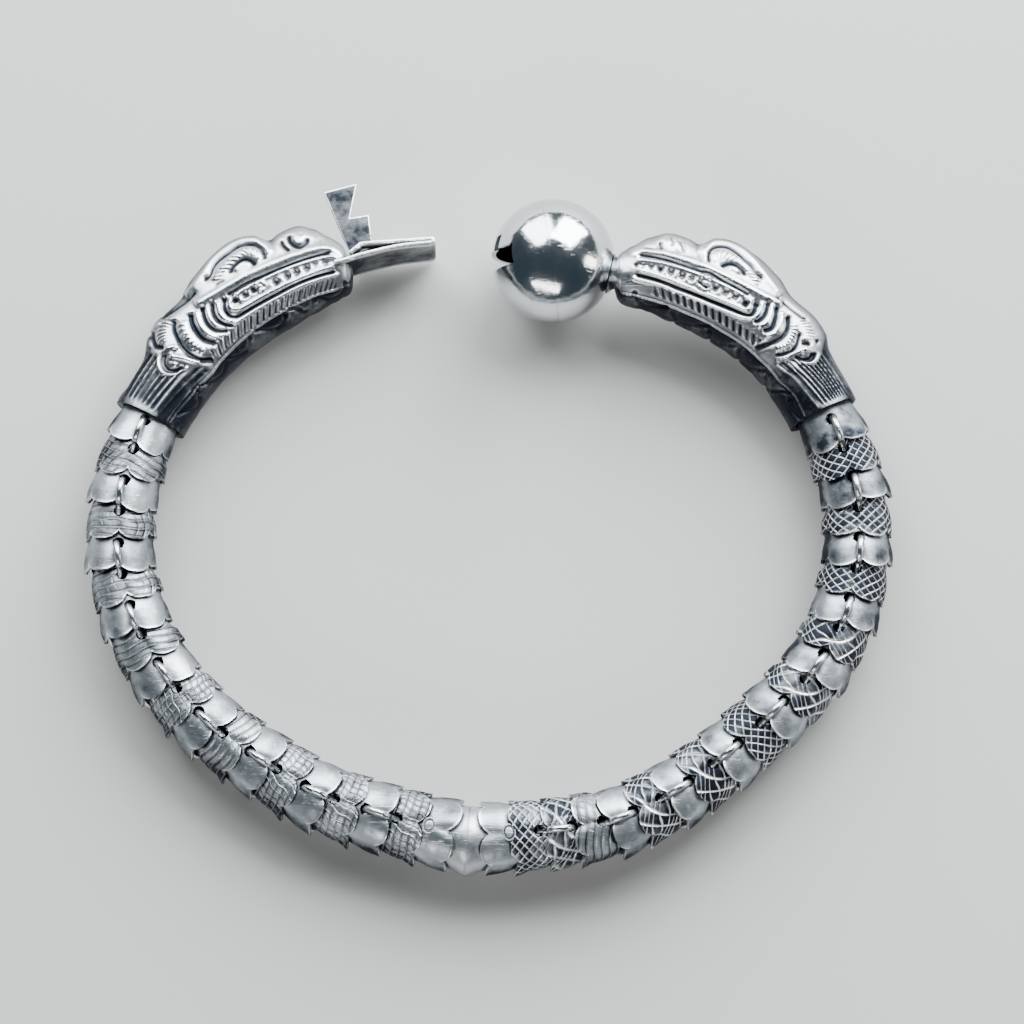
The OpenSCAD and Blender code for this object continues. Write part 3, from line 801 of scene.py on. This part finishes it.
chasing["right"] = {
    "crease": [(-10, -25), (12, -23), (32, -21.5), (44, -23), (56, -25.5), (75, -24.3), (92, -24.7), (113, -23.8),
               (141, -24.7),
               (162, -23.8), (187, -23.4), (203, -22), (220, -20.5), (240, -18.5), (262, -16)],
    "crests": [-8, -3.4, 1.3, 6, 9.5, 12.5, 15.7, 18.9, 21.8, 25.2, 29],
    "lean": [(-8, -0.12), (-3.4, -0.17), (1.3, -0.14), (6, -0.15), (12, -0.09), (20, -0.03), (29, 0.02)],
    "fluteEnd": [(-12, 72), (-6, 70), (0, 66), (5, 58), (12, 48), (20, 50), (28, 54)],
    "ridges": [
        ([(106, 33), (120, 28.5), (150, 26), (190, 26.5), (225, 27.5), (243, 26.5), (252, 20)], 4.0, 0.28),
        ([(119, 4.5), (128, -0.5), (140, -3.8), (162, -6.3), (187, -6.3), (203, -5.5), (220, -3), (240, -1.3),
          (250, 0.5)], 2.0, 0.22),
        ([(140, 17.5), (132, 15), (129.5, 10), (133, 5.5), (145, 3.5), (166, 1.5), (187, 1), (203, 2.5), (225, 5),
          (245, 8)], 2.2, 0.20),
        ([(138, 17.5), (165, 17), (190, 17.5), (225, 18.5), (247, 18)], 2.2, 0.20),
        ([(58.7, 22), (62, 15.5), (65.3, 8.7), (68.7, 0.3), (72, -8), (77, -15)], 2.6, 0.28),
        ([(53, 25), (49.7, 17), (50, 11.5), (54, 6.5), (60, 3.5)], 1.5, 0.20),
        ([(3, -6.3), (25, -9.7), (49, -12), (60, -14.7), (73, -17)], 1.3, 0.16),
        ([(91, 26), (84, 19), (80, 11), (79.5, 3), (84, -7)], 3.6, 0.14),
        ([(105, 27), (98.5, 20), (95.5, 12), (95.5, 4), (101, -5)], 3.0, 0.24),
        ([(115, 27), (110.5, 20), (108, 12), (108.5, 5), (114, -1.5)], 2.6, 0.24),
        ([(123, 23), (120, 17), (118.8, 10), (121, 2.5)], 2.4, 0.22),
        ([(112, 38), (125, 42), (138, 47.5), (150, 53), (162, 57), (174, 57), (184, 53), (191, 45),
          (191, 36)], 3.2, 0.26),
        ([(135, 36), (146, 41.5), (155, 44.5), (165, 46), (174, 44.5), (178, 39), (177, 33)], 3.6, 0.12),
        ([(135, 11.5), (165, 10), (200, 10.5), (245, 13)], 6.0, 0.17),
        ([(152, 34), (159, 36.5), (165, 34)], 2.8, 0.16)],
    "grooves": [
        ([(57, 21), (54.5, 17), (54, 12), (58, 6.2), (64, 3.7), (68, 4.5)], 2.6, 0.42),
        ([(61, 12), (64.5, 5.5)], 1.2, 0.2),
        ([(62, 20), (66, 21), (69, 18), (69, 14.5)], 1.9, 0.34),
        ([(65, 33), (62, 29.5), (63, 26.5)], 1.9, 0.3),
        ([(80, 37), (90, 35.3), (100, 34.5), (117, 34.3)], 1.5, 0.22),
        ([(79, 24), (73.7, 15.3), (71.6, 8.7), (72, 2), (75.3, -5.5), (80, -12)], 1.8, 0.36),
        ([(68, -6), (73, -10.5), (78, -14)], 1.4, 0.22),
        ([(98, 28), (91, 21), (88, 14.5), (87.4, 7.8), (88.7, 1.2), (92.8, -8), (97, -16), (100, -21)], 2.5, 0.42),
        ([(111, 28.5), (106, 21), (102.8, 13.7), (101, 7.8), (102.8, 2.8), (107, -2)], 2.2, 0.40),
        ([(118.5, 26), (115.3, 18.7), (114, 12), (115.3, 5.3), (119.5, -0.5)], 1.9, 0.38),
        ([(127, 19), (124.8, 12), (124, 7), (126, 3.2), (132, 1), (145, -0.9), (166, -3), (187, -3), (203, -2.2),
          (220, 0.3),
          (240, 2.7), (247, 2.4)], 2.0, 0.38),
        ([(135, 20.8), (162, 20.8), (178, 22.8), (188, 21.2), (203, 21.6), (220, 22.8), (240, 23.3),
          (246, 22)], 1.3, 0.28),
        ([(172.5, 6.8), (179, 9), (187, 10.8)], 1.5, 0.36),
        ([(171.7, 6.2), (179, 2.4), (188.3, 7)], 0.9, 0.2),
        ([(132, 41.6), (141, 43), (147, 46.5), (153, 48.5), (161, 51.5), (170, 53.3), (176.7, 52), (182.5, 47.8),
          (184.6, 42.8),
          (183.3, 36), (180, 32)], 1.3, 0.30),
        ([(146.5, 35.5), (153.3, 39), (160, 40.3), (165, 39), (169, 35.3), (171, 31.5)], 1.8, 0.36),
        ([(213.5, 46), (208, 39.5), (206, 33)], 1.0, 0.16),
        ([(211, 36.5), (213, 32.5)], 1.6, 0.3),
        ([(222, 46.5), (217.2, 41), (219, 35)], 1.0, 0.18),
        ([(227.5, 41), (226.7, 34.5), (222.5, 31.8)], 1.4, 0.28),
        ([(229, 31.3), (243, 31)], 1.2, 0.22),
        ([(0, -27), (12, -31), (22, -33), (28.5, -30.5), (33.5, -25)], 1.5, 0.26),
        ([(35.5, -22.5), (43.7, -29.7), (50.3, -36.3), (57, -40), (64, -38), (70, -32), (71, -26)], 1.6, 0.32),
        ([(72, -26.5), (81, -33.8), (92, -39), (103, -40), (111, -35), (115.5, -29)], 1.6, 0.30),
        ([(111, -26.5), (122, -32), (131, -36.3), (142, -39), (150, -37), (154, -29)], 1.6, 0.30),
        ([(153, -25.5), (166, -30.5), (176, -34.5), (188, -35.5), (197, -32), (200.5, -26)], 1.7, 0.32),
        ([(205, -22.2), (220, -26.3), (229, -28), (238, -25), (243, -18)], 1.7, 0.32)],
    "rows": [
        ([(88, 25), (82, 19), (79, 12), (78.5, 4), (82, -5)], 3.8, (3.5, 3.5), 0.0, 0.2),
        ([(65, 27), (71, 30), (78, 33), (88, 34.5)], 4.2, (3.1, 3.4), 0.45, 0.18),
        ([(100, -13), (130, -13.5), (160, -13.5), (190, -12.5), (230, -9.5)], 5.5, (8.5, 8.0), -0.6, 0.24),
        ([(132, 35), (140, 38), (149, 42)], 4.5, (3.8, 3.8), 0.9, 0.16),
        ([(158, 46), (166, 45.5), (174, 43.5), (179, 38)], 4.5, (4.2, 4.2), 0.3, 0.16)],
    "pits": [
        (135.4, 12, 3.4, 0.42), (146.7, 11.8, 3.2, 0.42), (156.7, 11, 3.5, 0.42), (167.5, 10.3, 3.4, 0.42),
        (191.7, 10.3, 2.6, 0.32),
        (201.3, 10.5, 3.3, 0.42), (212.5, 11.2, 3.2, 0.4), (223, 12, 3.1, 0.4), (232, 12.8, 2.6, 0.34),
        (240, 13, 2.4, 0.3),
        (246.5, 13, 2.0, 0.25), (117.8, 25.3, 2.4, 0.2), (126.3, 17.8, 2.8, 0.25),
        (31, -28, 3, 0.2), (70.5, -29, 3, 0.22), (114, -31, 3, 0.2), (154, -31, 3, 0.2), (200.3, -28, 3, 0.2),
        (245, -16, 3, 0.2)],
    "bosses": [(64, 15, 3.2, 0.22), (221, 40, 7.5, 0.22), (158, 34, 5, 0.12)],
    "knot": (179, 15),
}
# How the strokes are cut: heights in mm, the rest in pixels
cutting = {
    "flute": 0.2, "fluteIn": 12, "fluteOut": 5, "ends": 4, "rowEnds": 3, "rowSides": 1.8, "rowLine": 0.21,
    "knotRing": 0.3, "knotWide": 4.2, "knotEye": 0.22, "bead": 0.2, "beadPitch": 2.6,
    # tarnish of hollows and pits, and painted shade on the chin, inner side and outer flank
    "hollow": (0.95, 0.6), "pit": 1.1, "chin": 0.55, "inner": 0.6, "flank": 0.85, "soften": 14,
}


def photoSpot(side, x, y, z):
    # where the camera sees a point, as t and w of that head
    lean, half = math.radians(cameraLook["tilt"]), cameraLook["picture"] / 2
    dx, dy, dz = (a - b for a, b in zip((x, y, z), cameraLook["aim"]))
    depth = cameraLook["away"] - (dz * math.cos(lean) - dy * math.sin(lean))
    right = half + cameraLook["zoom"] * dx / depth
    down = half - cameraLook["zoom"] * (dy * math.cos(lean) + dz * math.sin(lean)) / depth
    cx, cy, r, start, way = headShape[side]["arc"]
    angle = np.degrees(np.arctan2(down - cy, right - cx))
    return way * np.radians(angle - start) * r, np.hypot(right - cx, down - cy) - r


def curve(path, per=8):
    # a smooth line through a path's points
    p = np.array([path[0]] + list(path) + [path[-1]], dtype=float)
    u = np.linspace(0, 1, per, endpoint=False)[:, None]
    parts = [0.5 * (2 * b + (c - a) * u + (2 * a - 5 * b + 4 * c - d) * u ** 2 + (3 * b - a - 3 * c + d) * u ** 3)
             for a, b, c, d in zip(p, p[1:], p[2:], p[3:])]
    return np.vstack(parts + [p[-1:]])


def nearPath(t, w, path, reach):
    # the points within reach of a path: their distance, the way along it, the side, and the path's length
    line = curve(path)
    low, high = line.min(0) - reach, line.max(0) + reach
    spot = np.nonzero((t > low[0]) & (t < high[0]) & (w > low[1]) & (w < high[1]))[0]
    p = np.stack([t[spot], w[spot]], 1)
    best, way, side = np.full(len(spot), 1e9), np.zeros(len(spot)), np.zeros(len(spot))
    run = 0.0
    for a, b in zip(line[:-1], line[1:]):
        d = b - a
        length = math.hypot(*d)
        if length < 1e-6:
            continue
        f = np.clip(((p - a) @ d) / length ** 2, 0, 1)
        gap = p - a - f[:, None] * d
        far = np.hypot(gap[:, 0], gap[:, 1])
        closer = far < best
        best = np.where(closer, far, best)
        way = np.where(closer, run + f * length, way)
        side = np.where(closer, np.sign(d[0] * gap[:, 1] - d[1] * gap[:, 0]), side)
        run += length
    return spot, best, way, side, run


def tapered(way, run, fade):
    # a stroke fades in and out at its ends
    return ease(way / fade) * ease((run - way) / fade)


def headRelief(side, t, w):
    # height in mm of the chased work at every point, and the depth of its pits
    work = chasing[side]
    # flutes behind the head, sharp crests with hollows between them
    lean = np.interp(w, *zip(*work["lean"]))
    phase = np.interp(w - lean * (t - 30), work["crests"], np.arange(len(work["crests"])))
    fluteEnd = np.interp(w, *zip(*work["fluteEnd"]))
    mask = ease((t - 4) / cutting["fluteIn"]) * ease((fluteEnd - t) / cutting["fluteOut"])
    mask = mask * (phase > 0) * (phase < len(work["crests"]) - 1) * (1 - 0.5 * ease(-w / 5))
    high = -cutting["flute"] * np.abs(np.sin(math.pi * phase)) ** 0.8 * mask
    for path, wide, tall in work["ridges"]:
        spot, far, way, _, run = nearPath(t, w, path, 2.4 * wide)
        high[spot] += tall * bell(far / wide) * tapered(way, run, cutting["ends"])
    for path, wide, deep in work["grooves"]:
        spot, far, way, _, run = nearPath(t, w, path, 4 * wide)
        cut = 0.4 * bell(far / (1.8 * wide)) + 0.6 * bell(far / (0.9 * wide))
        high[spot] -= deep * cut * tapered(way, run, cutting["ends"])
    for path, wide, (first, last), slant, deep in work["rows"]:
        # strokes are counted along the row, as their pitch changes from first to last
        spot, far, way, aside, run = nearPath(t, w, path, wide + 2)
        grow = (last - first) / run + 1e-6
        phase = np.log(1 + grow * np.clip(way + slant * aside * far, 0, run) / first) / grow
        uneven = 0.75 + 0.25 * np.sin(2.3 * np.round(phase) + 1)
        wave = 0.45 - bell((phase - np.round(phase)) / cutting["rowLine"])
        mask = ease((wide - far) / cutting["rowSides"]) * tapered(way, run, cutting["rowEnds"])
        high[spot] += deep * uneven * wave * mask
    for pt, pw, wide, tall in work["bosses"]:
        high += tall * bell(np.hypot(t - pt, w - pw) / wide)
    kt, kw = work["knot"]
    away, turn = np.hypot(t - kt, w - kw), np.arctan2(w - kw, t - kt)
    high += cutting["knotRing"] * bell((away - cutting["knotWide"]) / 1.6) * (0.55 + 0.45 * np.cos(3 * turn - 1))
    high += cutting["knotEye"] * bell(away / 1.8)
    crease = np.interp(t, *zip(*work["crease"]))
    beads = 0.75 + 0.25 * np.sin(t * 2 * math.pi / cutting["beadPitch"])
    high += cutting["bead"] * bell((w - crease - 0.4) / 1.1) * beads * ease((t + 6) / 4)
    pits = sum(deep * bell((np.hypot(t - pt, w - pw) / wide) ** 1.4) for pt, pw, wide, deep in work["pits"])
    return high, pits


def column(c, t):
    # a smooth column of the section table
    x, y = (np.array([row[i] for row in headShape["sections"]]) for i in (0, c))
    slope = np.gradient(y, x) * 0.6
    i = np.clip(np.searchsorted(x, t, side="right") - 1, 0, len(x) - 2)
    h = x[i + 1] - x[i]
    u = (t - x[i]) / h
    return ((2 * u ** 3 - 3 * u ** 2 + 1) * y[i] + (u ** 3 - 2 * u ** 2 + u) * h * slope[i]
            + (3 * u ** 2 - 2 * u ** 3) * y[i + 1] + (u ** 3 - u ** 2) * h * slope[i + 1])


def evenly(w, z, count):
    # the same line with its points evenly spaced
    run = np.concatenate([[0], np.cumsum(np.hypot(np.diff(w), np.diff(z)))])
    at = np.linspace(0, run[-1], count)
    return np.interp(at, run, w), np.interp(at, run, z)


def headCentre(side):
    # the middle of the circle that a head's middle line follows
    return neckAt(side) + headShape[side]["radius"] * along(chain[side]["neck"] + chain[side]["turn"] * 90)


def onHead(side, t, w, z):
    # places in mm of points t along, w outwards and z above a head's middle line
    look, turn = headShape[side], chain[side]["turn"]
    x, y = headCentre(side)
    run = t * look["share"] + look["nose"] * ease((t - 25) / 4.4)  # the nose is drawn out at the end
    angle = np.radians(chain[side]["neck"] + turn * (np.degrees(run / look["radius"]) - 90))
    reach = look["radius"] + w
    return (x + reach * np.cos(angle), y + reach * np.sin(angle),
            chain["height"] + look["rise"] * t / headShape["length"] + z)


def snoutAt(side):
    # where a head ends, and which way it points there
    look, turn, start = headShape[side], chain[side]["turn"], chain[side]["neck"]
    bend = math.degrees(headShape["length"] * look["share"] / look["radius"])
    x, y = headCentre(side) + look["radius"] * along(start + turn * (bend - 90))
    return x, y, chain["height"] + look["rise"], start + turn * bend


def halfSection(side, t):
    # upper half of a section, from the outer edge over the top and down the chin
    out, inn, high = (float(column(c, t)) for c in (1, 2, 3))
    out *= headShape[side]["wide"]
    low = headShape["crease"]
    # the crease between face and chin follows its drawn line, as the camera sees it
    seenT, seenW = photoSpot(side, *onHead(side, t, -2.5, high * 0.75))
    crease = seenW * px + 2.5 - np.interp(seenT, *zip(*chasing[side]["crease"])) * px
    crease = min(max(crease, 1.4), inn - 0.7)
    a = np.radians(90 * np.linspace(0, 1, 160) ** 0.8)
    b = np.radians(np.linspace(0, 90, 60))
    f = np.linspace(0, 1, 40)[1:]
    over = evenly(
        np.concatenate([out * np.cos(a), -crease * f]),
        np.concatenate([high * np.sin(a) ** 0.85, high * (1 - (1 - low) * f ** 1.7)]), headShape["over"] + 1)
    chin = evenly(
        -crease - (inn - crease) * np.sin(b), (high * low - headShape["chinStep"]) * np.cos(b), headShape["chin"] + 1)
    return np.concatenate([over, chin], axis=1)


def headTones(side, depth, pits, seenT, seenW, w, outZ):
    # tarnish and painted shade, and rubbed ridges that are worn silver with a painted highlight; hollows are darkened
    # by how far they lie under their surroundings
    soft = depth
    for _ in range(cutting["soften"]):
        soft = (soft + np.roll(soft, 1, 0) + np.roll(soft, -1, 0) + np.roll(soft, 1, 1) + np.roll(soft, -1, 1)) / 5
    isChin = np.arange(w.shape[1]) > headShape["over"]
    under, deep = cutting["hollow"]
    tarnish = under * np.clip((soft - depth) / 0.12, 0, 1) + deep * np.clip(-depth / 0.35, 0, 1)
    # pits are tarnished; the chin gets painted shade
    tarnish += cutting["pit"] * pits + cutting["chin"] * isChin
    # painted shade on the inner side
    tarnish += cutting["inner"] * ease((-4 - seenW) / 8) + 0.15 * (seenT < 70) * ease((-1 - seenW) / 6)
    # painted shade over the neck end
    tarnish += headShape[side]["neckShade"] * ease((62 - seenT) / 10)
    # painted shade on the outward-facing flank
    tarnish += cutting["flank"] * (w > 0) * ease((0.95 - outZ) / 0.6)
    # ridges get worn silver with a painted highlight, less on the chin
    return tarnish, np.clip((depth - soft) / 0.09, 0, 1) * (1 - 0.6 * isChin)


def wholeRing(half, flip=1):
    # the half section, then the same points backwards underneath
    return np.concatenate([half, flip * half[:, ::-1][:, 1:]], axis=1)


def evenStep(values, count):
    # which of count even steps from -1 to 1 each value stands on
    return np.round((values + 1) / 2 * (count - 1)).astype(int)


def makeHead(side):
    length = headShape["length"]
    t = np.linspace(0, length, headShape["rings"] + 1)
    w, z = np.array([halfSection(side, v) for v in t]).transpose(1, 0, 2)
    t = np.repeat(t[:, None], w.shape[1], axis=1)
    seenT, seenW = photoSpot(side, *onHead(side, t, w, z))
    relief, pits = (part.reshape(t.shape) for part in headRelief(side, seenT.ravel(), seenW.ravel()))
    fade = ease(t / 0.5) * ease((length - t) / 0.8)
    slopeW, slopeZ = np.gradient(w, axis=1), np.gradient(z, axis=1)
    size = np.hypot(slopeW, slopeZ) + 1e-9
    outW, outZ = slopeZ / size, -slopeW / size
    outZ[:, [0, -1]] = 0
    tarnish, rubbed = headTones(side, (relief - 0.4 * pits) * fade, pits, seenT, seenW, w, outZ)
    relief = (relief - pits) * fade
    w, z = w + relief * outW, z + relief * outZ
    t, w, z, tarnish, rubbed = wholeRing(t), wholeRing(w), wholeRing(z, -1), wholeRing(tarnish), wholeRing(rubbed)
    # the hollow neck in front of the first ring, and the closed snout behind the last
    neck, snout = headShape["neckRings"], headShape["snoutRings"]
    turn = np.linspace(0, 2 * math.pi, w.shape[1])

    def withEnds(rings, front, end):
        return np.vstack([row + 0 * turn for row in front] + [rings] + [row + 0 * turn for row in end])

    t = withEnds(t, [at for at, _ in neck], [length + at for at, _ in snout])
    w = withEnds(w, [r * np.cos(turn) for _, r in neck], [share * w[-1] for _, share in snout])
    z = withEnds(z, [r * np.sin(turn) for _, r in neck], [share * z[-1] for _, share in snout])
    # painted shade inside the hollow neck; the closed snout end is darker
    tarnish = withEnds(tarnish, [1.0] * len(neck), [0.4] * len(snout))
    rubbed = withEnds(rubbed, [0.0] * len(neck), [0.0] * len(snout))
    place = np.stack(onHead(side, t, w, z), 2)
    rows, columns = w.shape
    head = newShape(bpy.ops.mesh.primitive_grid_add, x_subdivisions=columns - 1, y_subdivisions=rows - 1, size=2)
    flat = points(head)
    at = evenStep(flat[:, 1], rows), evenStep(flat[:, 0], columns)
    setPoints(head, place[at] * mm)
    paint(head, tarnish=tarnish[at], rubbed=rubbed[at])
    faceOutward(head, 2e-6)
    finishPiece(head, f"head_{side}", castSilver, 70)


makeHead("left")
makeHead("right")
print("heads ready")


# Tongue: a folded strip and a notched thumb piece, drawn in mm in the snout's own frame
tongue = {
    "inner": [(-1.2, 0), (0.2, 0), (2.5, 0.1), (6.3, 0), (10.1, -0.55)],
    "fold": (10.1, -0.325, 0.27, 0.225), "outer": [(10.1, -0.1), (3, 1.2), (2, 1.15), (0.8, 0.6)],
    "thumb": [(0.75, 0.65), (-0.36, 8.7), (3.64, 8.75), (1.84, 5), (4.04, 4.85), (3.55, 1)],
    "high": 8.4, "strip": 0.45, "thumbThick": 0.5, "thumbUp": 2.4, "bevel": 0.09, "thumbBevel": 0.12, "rim": 0.07,
}


def makeStrip():
    x, y, wide, tall = tongue["fold"]
    fold = [(x + wide * math.sin(a), y - tall * math.cos(a)) for a in np.linspace(0.5, math.pi - 0.5, 6)]
    path = np.vstack([curve(tongue["inner"], 6), fold, curve(tongue["outer"], 6)])
    strip = newShape(bpy.ops.mesh.primitive_grid_add, x_subdivisions=len(path) - 1, y_subdivisions=8, size=2)
    place = points(strip)
    i = evenStep(place[:, 0], len(path))
    setPoints(strip, np.stack([path[i, 0], path[i, 1], place[:, 1] * tongue["high"] / 2], 1) * mm)
    applyModifier(strip, "SOLIDIFY", thickness=tongue["strip"] * mm, offset=0)
    applyModifier(strip, "BEVEL", width=tongue["bevel"] * mm, segments=2, limit_method="ANGLE")
    place = points(strip) / mm
    outward = np.array([v.normal.y for v in strip.data.vertices])
    edge = np.abs(place[:, 2]) > tongue["high"] / 2 - 0.12
    # painted shade on faces turned to -Y and where the strip enters the snout; worn silver with a painted highlight
    # along the top and bottom edges
    tarnish = 0.25 + 0.45 * ease(-outward) + 0.4 * bell((place[:, 0] - 0.5) / 1.2)
    paint(strip, tarnish=np.where(edge, 0, tarnish), rubbed=edge)
    return strip


def makeThumb():
    # a face filled between its corners, then thickened and bevelled
    corners, up = tongue["thumb"][::-1], tongue["thumbUp"] + tongue["thumbThick"] / 2
    thumb = newShape(bpy.ops.mesh.primitive_circle_add, vertices=len(corners), radius=1, fill_type="NGON")
    setPoints(thumb, np.array([(x * mm, y * mm, up * mm) for x, y in corners]))
    faceOutward(thumb)
    applyModifier(thumb, "SOLIDIFY", thickness=tongue["thumbThick"] * mm, offset=-1)
    applyModifier(thumb, "BEVEL", width=tongue["thumbBevel"] * mm, segments=3)
    editChosen(thumb, "FACE", lambda face: abs(face.normal.z) > 0.9 and face.area > 8 * mm * mm)
    bpy.ops.mesh.inset(thickness=tongue["rim"] * mm)
    leaveEdit()
    # painted shade on the flat faces inside the rim; worn silver with a painted highlight on the rim and sides
    inner = np.zeros(len(thumb.data.vertices))
    for face in thumb.data.polygons:
        if face.select:
            inner[list(face.vertices)] = 1
    paint(thumb, tarnish=0.8 * inner, rubbed=1 - inner)
    return thumb


clasp = joinPieces([makeStrip(), makeThumb()])
clasp.data.transform(placed(*snoutAt("left")))
faceOutward(clasp)
finishPiece(clasp, "clasp_tongue", plainSilver)


# Ball: a hollow polished sphere with a slot for the tongue and a slit for the thumb piece, in mm
ball = {
    "at": (7.33, 30.52), "wide": 14.2, "wall": 0.5, "slotWide": 2.3, "slotHigh": 10.6, "slotWay": 184,
    "slit": (2.8, 1.2), "neck": [(0.4, 1.7), (0.9, 1.45), (1.5, 1.6), (2.3, 2.4)],
    "dents": 26, "dentDeep": (0.004, 0.018), "dentWide": (0.05, 0.16), "seam": 0.02, "seamWide": 0.012,
}


def box(size, place, turn):
    cutter = newShape(bpy.ops.mesh.primitive_cube_add, size=1)
    for step in (Matrix.Diagonal((*[s * mm for s in size], 1)), Matrix.Translation([p * mm for p in place]), turn):
        cutter.data.transform(step)
    return cutter


def ballSeam(unit):
    # a faint line where the two halves of the ball meet
    return bell((unit[:, :2] @ along(ball["slotWay"] + 4) - 0.06) / ball["seamWide"])


def makeShell(r):
    shell = newShape(bpy.ops.mesh.primitive_uv_sphere_add, segments=160, ring_count=80, radius=r * mm)
    unit = points(shell)
    unit /= np.linalg.norm(unit, axis=1)[:, None]
    local = np.random.default_rng(3)
    dents = -ball["seam"] * ballSeam(unit)
    for _ in range(ball["dents"]):
        spot = local.normal(size=3)
        spot /= np.linalg.norm(spot)
        deep, wide = local.uniform(*ball["dentDeep"]), local.uniform(*ball["dentWide"])
        dents -= deep * bell(np.linalg.norm(unit - spot, axis=1) / wide)
    setPoints(shell, unit * (r + dents[:, None]) * mm)
    thicken(shell, ball["wall"])
    place = points(shell)
    away = np.linalg.norm(place, axis=1)
    seam = 0.25 * ballSeam(place / away[:, None])
    # painted shade over the whole inside of the shell; the seam is a dark joint
    paint(shell, tarnish=np.where(away < (r - ball["wall"] / 2) * mm, 1, seam))
    shell.data.transform(placed(*ball["at"], r, 0))
    turn = placed(*ball["at"], r, ball["slotWay"])
    slot = box((r, ball["slotWide"], ball["slotHigh"]), (r, 0, 0), turn)
    slit = box((r, *ball["slit"]), (r + 1.2, -ball["slit"][0] / 2, tongue["thumbUp"] + 0.3), turn)
    for cutter in (slot, slit):
        applyModifier(shell, "BOOLEAN", object=cutter, operation="DIFFERENCE", solver="EXACT")
        bpy.data.objects.remove(cutter)
    return shell


def ballNeck():
    knots, radii = zip(*ball["neck"])
    x, y, z, _ = snoutAt("right")

    def shape(angle, share):
        at = knots[0] + (knots[-1] - knots[0]) * share
        tarnish = 0.7 * bell((share - 0.02) / 0.08) + 0.7 * bell((share - 1) / 0.08)
        return at, np.interp(at, knots, radii) + 0.02 * np.cos(9 * at), {"tarnish": tarnish}
    neck = latheTube(64, 18, shape)
    neck.data.transform(placed(x, y, z, math.degrees(math.atan2(ball["at"][1] - y, ball["at"][0] - x))))
    editAll(neck)
    bpy.ops.mesh.region_to_loop()
    bpy.ops.mesh.edge_face_add()
    leaveEdit()
    return neck


finishPiece(joinPieces([makeShell(ball["wide"] / 2), ballNeck()]), "clasp_ball", ballSilver, 30)
print("clasp ready")


# Table, light and camera, in metres. Each lamp has a place, a size, its watts and its colour, and faces the middle.
stageLook = {
    "floor": (0.45, 0.448, 0.442, 1), "floorRough": 0.8, "floorWide": 3, "room": (0.044, 0.066, 0.084, 1),
    "lamps": {
        "window": ((-0.19, 0.43, 0.33), (0.42, 0.56), 8.0, (0.95, 0.98, 1.0)),
        "windowRight": ((0.25, 0.41, 0.33), (0.40, 0.56), 13.0, (0.95, 0.98, 1.0)),
        "sideStrip": ((0.60, -0.02, 0.16), (0.16, 0.30), 1.2, (1.0, 0.98, 0.95)),
        "lowStrip": ((-0.12, -0.50, 0.26), (0.5, 0.13), 1.7, (1.0, 0.97, 0.94)),
    },
}
floor = newShape(bpy.ops.mesh.primitive_plane_add, size=stageLook["floorWide"])
floor.name = "floor"
paper = bpy.data.materials.new("paper")
paper.use_nodes = True
paper.node_tree.nodes["Principled BSDF"].inputs["Base Color"].default_value = stageLook["floor"]
paper.node_tree.nodes["Principled BSDF"].inputs["Roughness"].default_value = stageLook["floorRough"]
floor.data.materials.append(paper)
floor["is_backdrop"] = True

world = bpy.data.worlds.new("room")
bpy.context.scene.world = world
world.use_nodes = True
world.node_tree.nodes["Background"].inputs["Color"].default_value = stageLook["room"]
world.node_tree.nodes["Background"].inputs["Strength"].default_value = 1.0

for name, (place, size, watts, colour) in stageLook["lamps"].items():
    bpy.ops.object.light_add(type="AREA", location=place)
    lamp = bpy.context.object
    lamp.name, lamp.data.shape = name, "RECTANGLE"
    lamp.data.size, lamp.data.size_y, lamp.data.energy, lamp.data.color = *size, watts, colour
    lamp.rotation_euler = (-Vector(place)).to_track_quat("-Z", "Y").to_euler()

tilt = math.radians(cameraLook["tilt"])
back = Vector((0, -math.sin(tilt), math.cos(tilt)))
bpy.ops.object.camera_add(location=Vector(cameraLook["aim"]) * mm + back * cameraLook["away"] * mm)
camera = bpy.context.object
camera.data.lens = cameraLook["film"] * cameraLook["zoom"] / cameraLook["picture"]
camera.data.sensor_width = cameraLook["film"]
camera.data.clip_start, camera.data.clip_end = 0.01, 10
camera.rotation_mode = "QUATERNION"
camera.rotation_quaternion = (-back).to_track_quat("-Z", "Y")
bpy.context.scene.camera = camera
bpy.context.view_layer.update()

faces = [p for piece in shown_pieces() if piece.type == "MESH" for p in piece.data.polygons]
print("triangles", sum(len(p.vertices) - 2 for p in faces))
